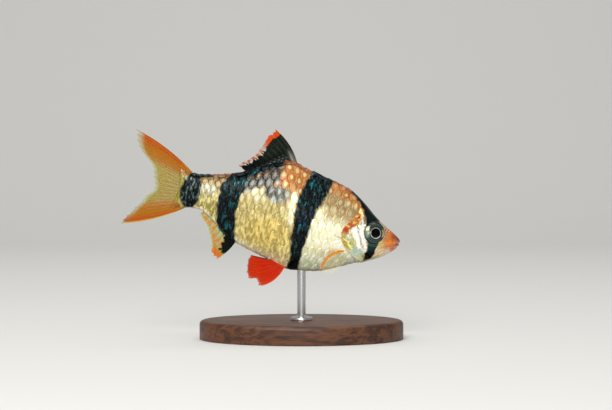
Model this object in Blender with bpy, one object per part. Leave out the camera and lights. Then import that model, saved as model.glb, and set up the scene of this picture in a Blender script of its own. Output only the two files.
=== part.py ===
"""A tiger barb swimming nose down, life size, held by one rod on an oval base.

The fish is laid out along its own axis in millimetres: "back" is the distance behind the snout,
"side" is across the body (left is positive) and "up" is the height above the axis.
fish_to_world tilts that layout nose down over the base. Everything is modelled in millimetres and
turned into metres at the end.
"""
import math

import bmesh
import bpy
import numpy as np
from mathutils import Matrix, Vector

MM = 0.001
WELD = 0.001
RIGHT, LEFT = -1, 1

# Pose on the stand
PITCH = math.radians(13.7)
SNOUT_AHEAD = 23.0
SNOUT_HEIGHT = 23.0
SEAM = 0.4
CLEARANCE = 0.3

# Body: distance behind the snout against the line of the back, of the belly and the half width
BACK_LINE = [(0.0, -0.35), (0.2, 0.5), (0.8, 1.0), (2.0, 1.7), (4.0, 2.7), (7.0, 4.55),
             (10.0, 6.8), (13.0, 8.65), (17.0, 9.95), (21.0, 10.8), (25.0, 11.5), (29.5, 12.4),
             (33.0, 11.0), (37.0, 8.6), (40.5, 6.8), (44.0, 5.55), (47.0, 4.75), (49.5, 4.25),
             (52.0, 4.3)]
BELLY_LINE = [(0.0, -0.35), (0.2, -1.5), (0.8, -2.35), (2.0, -3.55), (4.0, -5.0), (7.0, -6.6),
              (10.0, -7.95), (13.0, -9.5), (17.0, -11.3), (21.0, -12.15), (25.0, -12.5),
              (29.5, -11.3), (33.0, -10.45), (37.0, -9.45), (40.5, -8.1), (44.0, -5.5),
              (47.0, -3.8), (49.5, -3.85), (52.0, -4.4)]
HALF_WIDTH = [(0.0, 0.0), (0.2, 0.8), (0.8, 1.45), (2.0, 2.15), (4.0, 2.9), (7.0, 3.6),
              (10.0, 4.1), (13.0, 4.45), (17.0, 4.8), (21.0, 4.95), (25.0, 4.85), (29.5, 4.4),
              (33.0, 3.85), (37.0, 3.15), (40.5, 2.55), (44.0, 2.05), (47.0, 1.7), (49.5, 1.45),
              (52.0, 1.2)]
LEAST_SIZE = 0.1
SLOPE_STEP = 0.1
RIDGE_START, RIDGE_END = 6.0, 20.0
RIDGE_SHARPNESS = 0.3
BELLY_FULLNESS = 0.08
TRUNK_END = 46.9
STEM_END = 51.6
AROUND = 32
TRUNK_ROWS, STEM_ROWS, HEAD_ROWS, CAP_ROWS = 27, 6, 17, 3

# Gill cover: angle up from the side of the body against the distance of its rear edge
GILL_EDGE = [(-90, 7.2), (-60, 8.5), (-38, 10.6), (-14, 13.4), (0, 13.8), (17, 12.4), (34, 11.1),
             (60, 11.0), (90, 11.4)]
GILL_CENTRE = 11.2
GILL_RIM = 0.28
GILL_RIM_LENGTH = 1.6
GILL_RIM_FOOT, GILL_RIM_TOP = (-110, -60), (22, 40)
NOSE_CROWDING = 1.6

# Eye, nostril and mouth. The eyes face a little forwards and up, as the head does there.
EYE_BACK, EYE_UP = 6.2, 0.7
EYE_RADIUS, EYE_DEPTH, EYE_INSET = 2.7, 1.3, 0.8
EYE_FORWARD, EYE_RAISED = math.radians(13), math.radians(9)
EYE_SEGMENTS = 28
NOSTRIL_BACK, NOSTRIL_ANGLE, NOSTRIL_RADIUS = 3.3, 44, 0.36
NOSTRIL_SEGMENTS = 12
MOUTH_HALF_WIDTH, MOUTH_DEPTH, MOUTH_DROP, MOUTH_UP = 1.5, 1.6, 1.0, -0.45
LIP_RADIUS, LIP_SPREAD, LIP_STEPS = 0.46, 0.42, 14
LIP_AHEAD, LOWER_LIP_BEHIND = 0.2, 0.08
LIP_CORNER = 0.45

# Fins: half thickness of the membrane, height of the rays on each face, how far a ray's tip
# stands past the membrane and how wide its foot is, both as a share
MEMBRANE, MEMBRANE_TIP = 0.26, 0.16
RAY_HEIGHT, RAY_TIP_HEIGHT = 0.2, 0.08
RAY_SPIKE = 0.05
RAY_FOOT = 0.2
SWELL_REACH = 0.3
PAIRED_LIFT, PAIRED_SWELL = 0.7, 0.15

# Each fin: its rays and rows, where its root runs, the free edge as (share of the way from the
# first ray to the last, back, up), how far the first ray bows, and the root's extra half thickness
DORSAL_RAYS, DORSAL_ROWS = 10, 7
DORSAL_ROOT = (27.3, 38.4)
DORSAL_EDGE = [(0, 34.7, 18.9), (0.14, 35.5, 17.6), (0.3, 36.3, 15.7), (0.45, 36.9, 13.8),
               (0.6, 37.7, 12.1), (0.8, 39.2, 10.2), (1, 40.9, 8.4)]
DORSAL_BOW, DORSAL_SWELL = 0.95, 0.4

ANAL_RAYS, ANAL_ROWS = 8, 6
ANAL_ROOT = (37.6, 45.8)
ANAL_EDGE = [(0, 40.9, -14.3), (0.15, 41.9, -13.5), (0.35, 42.8, -11.6), (0.55, 43.7, -9.4),
             (0.75, 44.9, -7.2), (1, 47.2, -4.9)]
ANAL_BOW, ANAL_SWELL = -0.5, 0.35

CAUDAL_RAYS, CAUDAL_ROWS = 19, 8
CAUDAL_INSET = 0.15
CAUDAL_EDGE = [(0, 66.7, 11.1), (0.06, 66.3, 9.7), (0.14, 65.0, 7.6), (0.24, 62.9, 5.5),
               (0.34, 61.0, 3.8), (0.44, 59.6, 1.4), (0.5, 59.2, -0.2), (0.57, 59.3, -1.9),
               (0.66, 60.4, -3.8), (0.76, 61.9, -6.0), (0.86, 63.4, -8.4), (0.94, 64.6, -10.3),
               (1, 65.1, -11.5)]
CAUDAL_BOW, CAUDAL_SWELL = 0.9, 0.85

# Roots of the paired fins are (back, degrees up from the side), and their tips spread outwards
PELVIC_RAYS, PAIRED_ROWS = 9, 6
PELVIC_ROOT = ((24.7, -73), (26.9, -74))
PELVIC_EDGE = [(0, 29.0, -17.5), (0.2, 30.7, -17.1), (0.4, 32.2, -16.3), (0.6, 33.1, -15.0),
               (0.8, 33.5, -13.3), (1, 33.3, -11.5)]
PELVIC_BOW, PELVIC_SPREAD = -0.9, (3.2, 0.5)

PECTORAL_RAYS = 10
PECTORAL_ROOT = ((12.0, -32), (11.1, -48))
PECTORAL_EDGE = [(0, 16.8, -10.0), (0.25, 16.1, -10.8), (0.5, 14.9, -10.9), (0.75, 13.6, -10.4),
                 (1, 12.5, -9.4)]
PECTORAL_BOW, PECTORAL_SPREAD = 1.4, (4.2, 3.2)

# Stand
BASE_LENGTH, BASE_WIDTH, BASE_HEIGHT = 48.0, 32.0, 4.5
BASE_BEVEL, BASE_BEVEL_STEPS, BASE_SEGMENTS = 1.0, 3, 56
ROD_RADIUS, ROD_SOCKET, ROD_SEGMENTS = 1.0, 2.6, 24
ROD_PLACE_STEPS = 12
FLANGE_RADIUS, FLANGE_HEIGHT = 2.6, 0.8
FLANGE_EDGE_HEIGHT, FLANGE_TOP_RADIUS = 0.5, 2.1
SMOOTH_ANGLE = math.radians(40)


def fish_to_world(back, side, up):
    ahead = SNOUT_AHEAD - back * math.cos(PITCH) + up * math.sin(PITCH)
    height = SNOUT_HEIGHT + back * math.sin(PITCH) + up * math.cos(PITCH)
    return Vector((ahead, side, height))


def smooth_curve(knots):
    """A smooth function through the knots, with each slope taken from the knots beside it."""
    xs, ys = (np.array(column, float) for column in zip(*knots))
    slopes = np.gradient(ys, xs)

    def value(x):
        i = int(np.clip(np.searchsorted(xs, x) - 1, 0, len(xs) - 2))
        span = xs[i + 1] - xs[i]
        t = float(np.clip((x - xs[i]) / span, 0.0, 1.0))
        blend = t * t * (3 - 2 * t)
        swing = span * t * (1 - t) * ((1 - t) * slopes[i] - t * slopes[i + 1])
        return float(ys[i] + (ys[i + 1] - ys[i]) * blend + swing)

    return value


def nose_curve(knots):
    """A smooth function of the distance's square root, which starts as a round nose."""
    curve = smooth_curve([(math.sqrt(back), value) for back, value in knots])
    return lambda back: curve(math.sqrt(max(back, 0.0)))


back_line = nose_curve(BACK_LINE)
belly_line = nose_curve(BELLY_LINE)
half_width = nose_curve(HALF_WIDTH)
gill_edge = smooth_curve(GILL_EDGE)


def ease(x, start, end):
    t = min(max((x - start) / (end - start), 0.0), 1.0)
    return t * t * (3 - 2 * t)


def body_point(back, angle, lift=0.0):
    """A point of the body's skin at an angle up from its left side, raised by lift."""
    middle = (back_line(back) + belly_line(back)) / 2
    half_depth = (back_line(back) - belly_line(back)) / 2
    width = half_width(back)
    growth = ease(back, RIDGE_START, RIDGE_END)
    cosine, sine = math.cos(angle), math.sin(angle)
    power = 1 + growth * (RIDGE_SHARPNESS if sine > 0 else -BELLY_FULLNESS) * abs(sine)
    side = width * math.copysign(abs(cosine) ** power, cosine)
    up = middle + half_depth * sine
    if lift:
        normal = Vector((cosine / max(width, LEAST_SIZE),
                         sine / max(half_depth, LEAST_SIZE))).normalized()
        side += normal.x * lift
        up += normal.y * lift
    return Vector((back, side, up))


def elevation(angle):
    return math.degrees(math.asin(math.sin(angle)))


def gill_cut(angle):
    return gill_edge(elevation(angle))


def make_material(name, colour, roughness, metallic=0.0):
    material = bpy.data.materials.new(name)
    material.use_nodes = True
    shader = material.node_tree.nodes["Principled BSDF"]
    shader.inputs["Base Color"].default_value = (*colour, 1.0)
    shader.inputs["Roughness"].default_value = roughness
    shader.inputs["Metallic"].default_value = metallic
    return material


def make_object(name, mesh_builder, material):
    """Link a finished bmesh as a named object, smooth apart from its sharp edges."""
    mesh = bpy.data.meshes.new(name)
    mesh_builder.normal_update()
    bmesh.ops.recalc_face_normals(mesh_builder, faces=mesh_builder.faces)
    mesh_builder.to_mesh(mesh)
    mesh_builder.free()
    mesh.shade_smooth()
    mesh.set_sharp_from_angle(angle=SMOOTH_ANGLE)
    mesh.materials.append(material)
    part = bpy.data.objects.new(name, mesh)
    bpy.context.scene.collection.objects.link(part)
    return part


def closed_form(name, rows, place, material):
    """A ball of rows from pole to pole, moved to place(row, angle) in the fish's layout."""
    form = bmesh.new()
    bmesh.ops.create_uvsphere(form, u_segments=AROUND, v_segments=rows, radius=1)
    for vertex in form.verts:
        row = round(math.acos(max(-1.0, min(1.0, -vertex.co.z))) / math.pi * rows)
        angle = math.atan2(vertex.co.y, vertex.co.x)
        vertex.co = fish_to_world(*place(row, angle))
    return make_object(name, form, material)


def apply_boolean(part, operation, tools):
    """Join or cut the part with the tools, drop the tools and keep the largest closed surface."""
    collection = bpy.data.collections.new("tools")
    for tool in tools:
        bpy.context.scene.collection.objects.unlink(tool)
        collection.objects.link(tool)
    bpy.context.scene.collection.children.link(collection)
    boolean = part.modifiers.new("Boolean", "BOOLEAN")
    boolean.operation = operation
    boolean.operand_type = "COLLECTION"
    boolean.collection = collection
    boolean.solver = "EXACT"
    bpy.context.view_layer.update()
    evaluated = part.evaluated_get(bpy.context.evaluated_depsgraph_get())
    joined = bpy.data.meshes.new_from_object(evaluated)
    part.modifiers.remove(boolean)
    part.data = joined
    for tool in tools:
        bpy.data.objects.remove(tool)
    bpy.data.collections.remove(collection)
    keep_largest(part)


def keep_largest(part):
    """Drop every closed surface of the part's mesh except the one with the most corners."""
    shape = bmesh.new()
    shape.from_mesh(part.data)
    shape.verts.ensure_lookup_table()
    seen, pieces = set(), []
    for first in range(len(shape.verts)):
        if first in seen:
            continue
        seen.add(first)
        piece = [first]
        for index in piece:
            for link in shape.verts[index].link_edges:
                near = link.other_vert(shape.verts[index]).index
                if near not in seen:
                    seen.add(near)
                    piece.append(near)
        pieces.append(piece)
    largest = set(max(pieces, key=len))
    scraps = [vertex for vertex in shape.verts if vertex.index not in largest]
    bmesh.ops.delete(shape, geom=scraps, context="VERTS")
    shape.to_mesh(part.data)
    shape.free()


def ball(name, centre, radii, turn, segments, material):
    """A ball with a radius back, up and side in the fish's layout, turned about its centre."""
    shape = bmesh.new()
    bmesh.ops.create_uvsphere(shape, u_segments=segments, v_segments=segments // 2, radius=1)
    for vertex in shape.verts:
        back, up, side = (vertex.co[i] * radii[i] for i in range(3))
        vertex.co = fish_to_world(*(centre + turn @ Vector((back, side, up))))
    return make_object(name, shape, material)


def eye(name, hand, clearance, material):
    """A flattened ball sunk in the side of the head. The orbit is the same ball with clearance."""
    depth = (EYE_UP - belly_line(EYE_BACK)) / (back_line(EYE_BACK) - belly_line(EYE_BACK))
    surface = body_point(EYE_BACK, math.asin(2 * depth - 1))
    turn = (Matrix.Rotation(hand * EYE_FORWARD, 3, "Z")
            @ Matrix.Rotation(hand * EYE_RAISED, 3, "X"))
    outwards = turn @ Vector((0, hand, 0))
    centre = Vector((surface.x, hand * surface.y, surface.z)) - outwards * EYE_INSET
    radii = [size + clearance for size in (EYE_RADIUS, EYE_RADIUS, EYE_DEPTH)]
    return ball(name, centre, radii, turn, EYE_SEGMENTS, material)


def lip(name, up_shift, back_shift, material):
    """A roll round the front of the mouth, thinner towards its corners."""
    curve = bpy.data.curves.new(name, "CURVE")
    curve.dimensions = "3D"
    curve.bevel_depth = LIP_RADIUS
    curve.bevel_resolution = 2
    curve.use_fill_caps = True
    spline = curve.splines.new("POLY")
    spline.points.add(LIP_STEPS)
    for i, point in enumerate(spline.points):
        turn = math.pi * (i / LIP_STEPS - 0.5)
        back = LIP_RADIUS - LIP_AHEAD + back_shift + MOUTH_DEPTH * (1 - math.cos(turn))
        side = MOUTH_HALF_WIDTH * math.sin(turn)
        spread = LIP_CORNER + (1 - LIP_CORNER) * math.cos(turn)
        up = MOUTH_UP + up_shift * spread - MOUTH_DROP * (1 - math.cos(turn))
        point.co = (*fish_to_world(back, side, up), 1.0)
        point.radius = spread
    roll = bpy.data.objects.new(name, curve)
    bpy.context.scene.collection.objects.link(roll)
    bpy.context.view_layer.update()
    mesh = bpy.data.meshes.new_from_object(roll.evaluated_get(
        bpy.context.evaluated_depsgraph_get()))
    bpy.data.objects.remove(roll)
    shape = bmesh.new()
    shape.from_mesh(mesh)
    bmesh.ops.remove_doubles(shape, verts=shape.verts, dist=WELD)
    return make_object(name, shape, material)


def make_head(material):
    centre = Vector((GILL_CENTRE, 0, (back_line(GILL_CENTRE) + belly_line(GILL_CENTRE)) / 2))
    rows = HEAD_ROWS + CAP_ROWS

    def place(row, angle):
        cut = gill_cut(angle)
        if row <= HEAD_ROWS:
            back = cut * (row / HEAD_ROWS) ** NOSE_CROWDING
            rise = elevation(angle)
            flare = GILL_RIM * (ease(rise, *GILL_RIM_FOOT) - ease(rise, *GILL_RIM_TOP))
            return body_point(back, angle, flare * ease(back, cut - GILL_RIM_LENGTH, cut))
        spread = (rows - row) / CAP_ROWS
        return centre.lerp(body_point(cut, angle), spread)

    head = closed_form("head", rows, place, material)
    apply_boolean(head, "UNION", [lip("upper_lip", LIP_SPREAD, 0.0, material),
                                  lip("lower_lip", -LIP_SPREAD, LOWER_LIP_BEHIND, material)])
    pits = []
    for hand in (RIGHT, LEFT):
        pits.append(eye("orbit", hand, CLEARANCE, material))
        nostril = body_point(NOSTRIL_BACK, math.radians(NOSTRIL_ANGLE))
        nostril.y *= hand
        pits.append(ball("nostril", nostril, [NOSTRIL_RADIUS] * 3, Matrix.Identity(3),
                         NOSTRIL_SEGMENTS, material))
    apply_boolean(head, "DIFFERENCE", pits)
    return head


def make_trunk(material):
    front = Vector((GILL_CENTRE + SEAM, 0,
                    (back_line(GILL_CENTRE) + belly_line(GILL_CENTRE)) / 2))
    rear = Vector((TRUNK_END, 0, (back_line(TRUNK_END) + belly_line(TRUNK_END)) / 2))
    rows = CAP_ROWS + TRUNK_ROWS + 1

    def place(row, angle):
        start = gill_cut(angle) + SEAM
        if row <= CAP_ROWS:
            return front.lerp(body_point(gill_cut(angle), angle) + Vector((SEAM, 0, 0)),
                              row / CAP_ROWS)
        if row < rows:
            along = (row - CAP_ROWS) / TRUNK_ROWS
            return body_point(start + (TRUNK_END - start) * along, angle)
        return rear

    trunk = closed_form("trunk", rows, place, material)
    socket = cylinder("socket", ROD_RADIUS + CLEARANCE, BASE_HEIGHT, rod_top() + CLEARANCE,
                      material)
    apply_boolean(trunk, "DIFFERENCE", [socket])
    return trunk


def make_stem(material):
    start = TRUNK_END + SEAM
    rows = STEM_ROWS + 2

    def place(row, angle):
        along = min(max((row - 1) / STEM_ROWS, 0.0), 1.0)
        back = start + (STEM_END - start) * along
        if row in (0, rows):
            return Vector((back, 0, (back_line(back) + belly_line(back)) / 2))
        return body_point(back, angle)

    return closed_form("tail_stem", rows, place, material)


def fin(name, rays, rows, root, tip, bow, swell, material):
    """A membrane with raised rays, from root(u) to tip(u), where u runs from ray to ray.

    bow(u) bends a ray within the fin, and swell(u) is the root's extra half thickness.
    """
    columns = []
    for ray in range(rays):
        centre, foot = ray / (rays - 1), RAY_FOOT / (rays - 1)
        if ray > 0:
            columns.append((centre - foot, False))
        columns.append((centre, True))
        if ray < rays - 1:
            columns.append((centre + foot, False))

    sheet = bmesh.new()
    bmesh.ops.create_grid(sheet, x_segments=len(columns) - 1, y_segments=rows, size=1)
    bmesh.ops.triangulate(sheet, faces=sheet.faces, quad_method="FIXED")
    raised = bmesh.ops.extrude_face_region(sheet, geom=sheet.faces[:], use_keep_orig=True)
    upper = {item for item in raised["geom"] if isinstance(item, bmesh.types.BMVert)}
    for vertex in sheet.verts:
        u, crest = columns[round((vertex.co.x + 1) / 2 * (len(columns) - 1))]
        v = (vertex.co.y + 1) / 2
        reach = v * (1 + RAY_SPIKE) if crest else v
        start, end = root(u), tip(u)
        point = start.lerp(end, reach)
        across = Vector((start.z - end.z, 0, end.x - start.x)).normalized()
        point += across * bow(u) * 4 * v * (1 - v)
        half = MEMBRANE + (MEMBRANE_TIP - MEMBRANE) * v + swell(u) * (1 - ease(v, 0, SWELL_REACH))
        if crest:
            half += RAY_HEIGHT + (RAY_TIP_HEIGHT - RAY_HEIGHT) * v
        point.y += half if vertex in upper else -half
        vertex.co = fish_to_world(*point)
    return make_object(name, sheet, material)


def outline(points):
    """Points of a fin's free edge as one smooth function of u, spaced as given."""
    backs = smooth_curve([(u, back) for u, back, _ in points])
    ups = smooth_curve([(u, up) for u, _, up in points])
    return lambda u: Vector((backs(u), 0, ups(u)))


def line_beside(line, back, gap):
    """A point off the back or belly line, gap away along the line's own normal."""
    slope = (line(back + SLOPE_STEP) - line(back - SLOPE_STEP)) / (2 * SLOPE_STEP)
    size = math.hypot(1, slope)
    return Vector((back - gap * slope / size, 0, line(back) + gap / size))


def between(ends, share):
    return ends[0] + (ends[1] - ends[0]) * share


def make_dorsal_fin(material):
    return fin("dorsal_fin", DORSAL_RAYS, DORSAL_ROWS,
               root=lambda u: line_beside(back_line, between(DORSAL_ROOT, u), SEAM),
               tip=outline(DORSAL_EDGE),
               bow=lambda u: DORSAL_BOW * (1 - u) ** 2,
               swell=lambda u: DORSAL_SWELL,
               material=material)


def make_anal_fin(material):
    return fin("anal_fin", ANAL_RAYS, ANAL_ROWS,
               root=lambda u: line_beside(belly_line, between(ANAL_ROOT, u), -SEAM),
               tip=outline(ANAL_EDGE),
               bow=lambda u: ANAL_BOW * (1 - u),
               swell=lambda u: ANAL_SWELL,
               material=material)


def make_caudal_fin(material):
    ends = (back_line(STEM_END) - CAUDAL_INSET, belly_line(STEM_END) + CAUDAL_INSET)
    return fin("caudal_fin", CAUDAL_RAYS, CAUDAL_ROWS,
               root=lambda u: Vector((STEM_END + SEAM, 0, between(ends, u))),
               tip=outline(CAUDAL_EDGE),
               bow=lambda u: CAUDAL_BOW * (1 - 2 * u) * abs(1 - 2 * u),
               swell=lambda u: CAUDAL_SWELL * math.sqrt(max(0.0, 1 - (2 * u - 1) ** 2)),
               material=material)


def paired_fin(name, hand, rays, ends, edge, spread, bow, material):
    """A fin on the body's side, rooted between two (back, angle) places of the skin."""
    tips = outline(edge)

    def root(u):
        back, degrees = (between(pair, u) for pair in zip(*ends))
        point = body_point(back, math.radians(degrees), PAIRED_LIFT)
        return Vector((point.x, hand * point.y, point.z))

    def tip(u):
        point = tips(u)
        return Vector((point.x, root(u).y + hand * between(spread, u), point.z))

    return fin(name, rays, PAIRED_ROWS, root, tip, lambda u: bow * (1 - u),
               lambda u: PAIRED_SWELL, material)


def cylinder(name, radius, bottom, top, material):
    shape = bmesh.new()
    bmesh.ops.create_cone(shape, cap_ends=True, segments=ROD_SEGMENTS, radius1=radius,
                          radius2=radius, depth=top - bottom)
    bmesh.ops.translate(shape, verts=shape.verts, vec=(0, 0, (top + bottom) / 2))
    return make_object(name, shape, material)


def rod_top():
    """Height of the rod's end, sunk ROD_SOCKET deep in the belly straight over the base."""
    back = SNOUT_AHEAD / math.cos(PITCH)
    for _ in range(ROD_PLACE_STEPS):
        back = (SNOUT_AHEAD + belly_line(back) * math.sin(PITCH)) / math.cos(PITCH)
    return fish_to_world(back, 0, belly_line(back)).z + ROD_SOCKET


def make_base(material):
    base = bmesh.new()
    bmesh.ops.create_cone(base, cap_ends=True, segments=BASE_SEGMENTS, radius1=BASE_WIDTH / 2,
                          radius2=BASE_WIDTH / 2, depth=BASE_HEIGHT)
    bmesh.ops.scale(base, verts=base.verts, vec=(BASE_LENGTH / BASE_WIDTH, 1, 1))
    bmesh.ops.translate(base, verts=base.verts, vec=(0, 0, BASE_HEIGHT / 2))
    rim = [edge for edge in base.edges if all(v.co.z > BASE_HEIGHT / 2 for v in edge.verts)]
    bmesh.ops.bevel(base, geom=rim, offset=BASE_BEVEL, offset_type="OFFSET",
                    segments=BASE_BEVEL_STEPS, profile=0.5, affect="EDGES", material=-1)
    plate = make_object("stand_base", base, material)
    socket = cylinder("socket", ROD_RADIUS + CLEARANCE, BASE_HEIGHT - ROD_SOCKET,
                      BASE_HEIGHT + ROD_SOCKET, material)
    apply_boolean(plate, "DIFFERENCE", [socket])
    return plate


def make_rod(material):
    bottom = BASE_HEIGHT - ROD_SOCKET + CLEARANCE
    foot = BASE_HEIGHT + CLEARANCE
    profile = [(0, bottom), (ROD_RADIUS, bottom), (ROD_RADIUS, foot), (FLANGE_RADIUS, foot),
               (FLANGE_RADIUS, foot + FLANGE_EDGE_HEIGHT),
               (FLANGE_TOP_RADIUS, foot + FLANGE_HEIGHT), (ROD_RADIUS, foot + FLANGE_HEIGHT),
               (ROD_RADIUS, rod_top()), (0, rod_top())]
    rod = bmesh.new()
    points = [rod.verts.new((radius, 0, height)) for radius, height in profile]
    edges = [rod.edges.new(pair) for pair in zip(points, points[1:])]
    bmesh.ops.spin(rod, geom=points + edges, cent=(0, 0, 0), axis=(0, 0, 1), steps=ROD_SEGMENTS,
                   angle=math.tau, use_merge=True)
    bmesh.ops.remove_doubles(rod, verts=rod.verts, dist=WELD)
    return make_object("stand_rod", rod, material)


def clear_scene():
    for old in list(bpy.data.objects):
        bpy.data.objects.remove(old)


def build():
    clear_scene()
    silver = make_material("silver_skin", (0.62, 0.58, 0.40), 0.35, 0.3)
    black = make_material("black_fin", (0.03, 0.04, 0.04), 0.4)
    orange = make_material("orange_fin", (0.75, 0.25, 0.04), 0.4)
    red = make_material("red_fin", (0.80, 0.08, 0.02), 0.4)
    clear = make_material("clear_fin", (0.75, 0.70, 0.45), 0.3)
    dark_eye = make_material("eye", (0.02, 0.02, 0.02), 0.1)
    wood = make_material("stand_wood", (0.16, 0.08, 0.04), 0.4)
    steel = make_material("stand_steel", (0.60, 0.60, 0.60), 0.3, 1.0)

    make_head(silver)
    make_trunk(silver)
    make_stem(silver)
    make_dorsal_fin(black)
    make_anal_fin(black)
    make_caudal_fin(orange)
    for side, hand in (("right", RIGHT), ("left", LEFT)):
        paired_fin("pelvic_fin_" + side, hand, PELVIC_RAYS, PELVIC_ROOT, PELVIC_EDGE,
                   PELVIC_SPREAD, PELVIC_BOW, red)
        paired_fin("pectoral_fin_" + side, hand, PECTORAL_RAYS, PECTORAL_ROOT, PECTORAL_EDGE,
                   PECTORAL_SPREAD, PECTORAL_BOW, clear)
        eye("eye_" + side, hand, 0.0, dark_eye)
    make_base(wood)
    make_rod(steel)
    for part in bpy.data.objects:
        part.data.transform(Matrix.Scale(MM, 4))


build()
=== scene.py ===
import math

import bmesh
import bpy
import numpy as np
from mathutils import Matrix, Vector


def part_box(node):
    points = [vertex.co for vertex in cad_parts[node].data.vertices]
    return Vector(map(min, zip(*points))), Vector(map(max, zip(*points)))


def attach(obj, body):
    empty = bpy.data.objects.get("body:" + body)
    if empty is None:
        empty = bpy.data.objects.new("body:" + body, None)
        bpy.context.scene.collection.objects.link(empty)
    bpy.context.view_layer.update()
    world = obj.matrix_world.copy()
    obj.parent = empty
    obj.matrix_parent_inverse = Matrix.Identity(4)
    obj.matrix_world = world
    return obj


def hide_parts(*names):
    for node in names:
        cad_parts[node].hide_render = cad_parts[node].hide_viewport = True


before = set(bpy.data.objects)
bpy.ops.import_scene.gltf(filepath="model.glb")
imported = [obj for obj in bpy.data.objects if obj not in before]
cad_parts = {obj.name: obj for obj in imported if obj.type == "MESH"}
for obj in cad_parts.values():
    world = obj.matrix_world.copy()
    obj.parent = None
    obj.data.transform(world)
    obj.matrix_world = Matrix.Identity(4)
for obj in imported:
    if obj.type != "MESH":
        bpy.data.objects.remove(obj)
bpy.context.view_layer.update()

# Skin
# One wet skin runs from the lips to the root of the tail fin, over head, trunk and tail stem.
# It is grown in one piece, so lips, nostrils, eye rims and gill covers are folds of it.

# Places on the fish are in millimetres: back from the snout, side with the left positive, and
# up from the body's own axis, which is tilted nose down over the stand.
MM = 0.001
PITCH = math.radians(13.7)
SNOUT_AHEAD, SNOUT_HEIGHT = 23.0, 23.0
RIGHT, LEFT = -1, 1

BACK_LINE = [(0.0, -0.35), (0.2, 0.5), (0.8, 1.0), (2.0, 1.7), (4.0, 2.7), (7.0, 4.55),
             (10.0, 6.8), (13.0, 8.65), (17.0, 9.95), (21.0, 10.8), (25.0, 11.5), (29.5, 12.4),
             (33.0, 11.0), (37.0, 8.6), (40.5, 6.8), (44.0, 5.55), (47.0, 4.75), (49.5, 4.25),
             (52.0, 4.3), (53.5, 4.75), (55.0, 5.5)]
BELLY_LINE = [(0.0, -0.35), (0.2, -1.5), (0.8, -2.35), (2.0, -3.55), (4.0, -5.0), (7.0, -6.6),
              (10.0, -7.95), (13.0, -9.5), (17.0, -11.3), (21.0, -12.15), (25.0, -12.5),
              (29.5, -11.3), (33.0, -10.45), (37.0, -9.45), (40.5, -8.1), (44.0, -5.5),
              (47.0, -3.8), (49.5, -3.85), (52.0, -4.4), (53.5, -5.0), (55.0, -5.9)]
HALF_WIDTH = [(0.0, 0.0), (0.2, 0.8), (0.8, 1.45), (2.0, 2.15), (4.0, 2.9), (7.0, 3.6),
              (10.0, 4.1), (13.0, 4.45), (17.0, 4.8), (21.0, 4.95), (25.0, 4.85), (29.5, 4.4),
              (33.0, 3.85), (37.0, 3.15), (40.5, 2.55), (44.0, 2.05), (47.0, 1.7), (49.5, 1.45),
              (52.0, 1.1), (53.5, 0.65), (55.0, 0.25)]
GILL_EDGE = [(-90, 7.2), (-60, 8.5), (-38, 10.6), (-14, 13.4), (0, 13.8), (17, 12.4), (34, 11.1),
             (60, 11.0), (90, 11.4)]
TAIL_EDGE, TAIL_BULGE = 54.4, 1.3
SKIN_AROUND, HEAD_ROWS, BODY_ROWS = 256, 190, 84
NOSE_CROWDING = 1.5
GILL_RIM, GILL_STEP = 0.3, 0.05
SKIN_DEPTH = 0.12


def smooth_curve(knots):
    """A smooth function through the knots, with each slope taken from the knots beside it."""
    xs, ys = np.array(knots, float).T
    slopes = np.gradient(ys, xs)

    def value(x):
        i = np.clip(np.searchsorted(xs, x) - 1, 0, len(xs) - 2)
        span = xs[i + 1] - xs[i]
        t = np.clip((x - xs[i]) / span, 0.0, 1.0)
        swing = span * t * (1 - t) * ((1 - t) * slopes[i] - t * slopes[i + 1])
        return ys[i] + (ys[i + 1] - ys[i]) * t * t * (3 - 2 * t) + swing

    return value


def nose_curve(knots):
    """A smooth function of the distance's square root, which starts as a round nose."""
    curve = smooth_curve([(math.sqrt(back), value) for back, value in knots])
    return lambda back: curve(np.sqrt(np.maximum(back, 0.0)))


back_line, belly_line, half_width = map(nose_curve, (BACK_LINE, BELLY_LINE, HALF_WIDTH))
gill_edge = smooth_curve(GILL_EDGE)


def ease(x, start, end):
    t = np.clip((x - start) / (end - start), 0.0, 1.0)
    return t * t * (3 - 2 * t)


def bell(x, width):
    return np.exp(-(x / width) ** 2)


def body_point(back, angle, lift=0.0):
    """Points of the body at an angle up from its left side, raised by lift."""
    top, bottom, width = back_line(back), belly_line(back), half_width(back)
    half_depth = (top - bottom) / 2
    cosine, sine = np.cos(angle), np.sin(angle)
    ridge = ease(back, 6.0, 20.0) * np.where(sine > 0, 0.3, -0.08) * np.abs(sine)
    side = width * np.sign(cosine) * np.abs(cosine) ** (1 + ridge)
    out_side, out_up = cosine / np.maximum(width, 0.1), sine / np.maximum(half_depth, 0.1)
    size = np.hypot(out_side, out_up)
    return np.stack(np.broadcast_arrays(back, side + lift * out_side / size,
                                        (top + bottom) / 2 + half_depth * sine
                                        + lift * out_up / size), -1)


def fish_to_world(points):
    back, side, up = np.moveaxis(np.asarray(points, float), -1, 0)
    ahead = SNOUT_AHEAD - back * math.cos(PITCH) + up * math.sin(PITCH)
    height = SNOUT_HEIGHT + back * math.sin(PITCH) + up * math.cos(PITCH)
    return np.stack([ahead, side, height], -1) * MM


def world_to_fish(points):
    ahead, side, height = np.moveaxis(np.asarray(points, float) / MM, -1, 0)
    ahead, height = SNOUT_AHEAD - ahead, height - SNOUT_HEIGHT
    return np.stack([ahead * math.cos(PITCH) + height * math.sin(PITCH), side,
                     height * math.cos(PITCH) - ahead * math.sin(PITCH)], -1)


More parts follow.
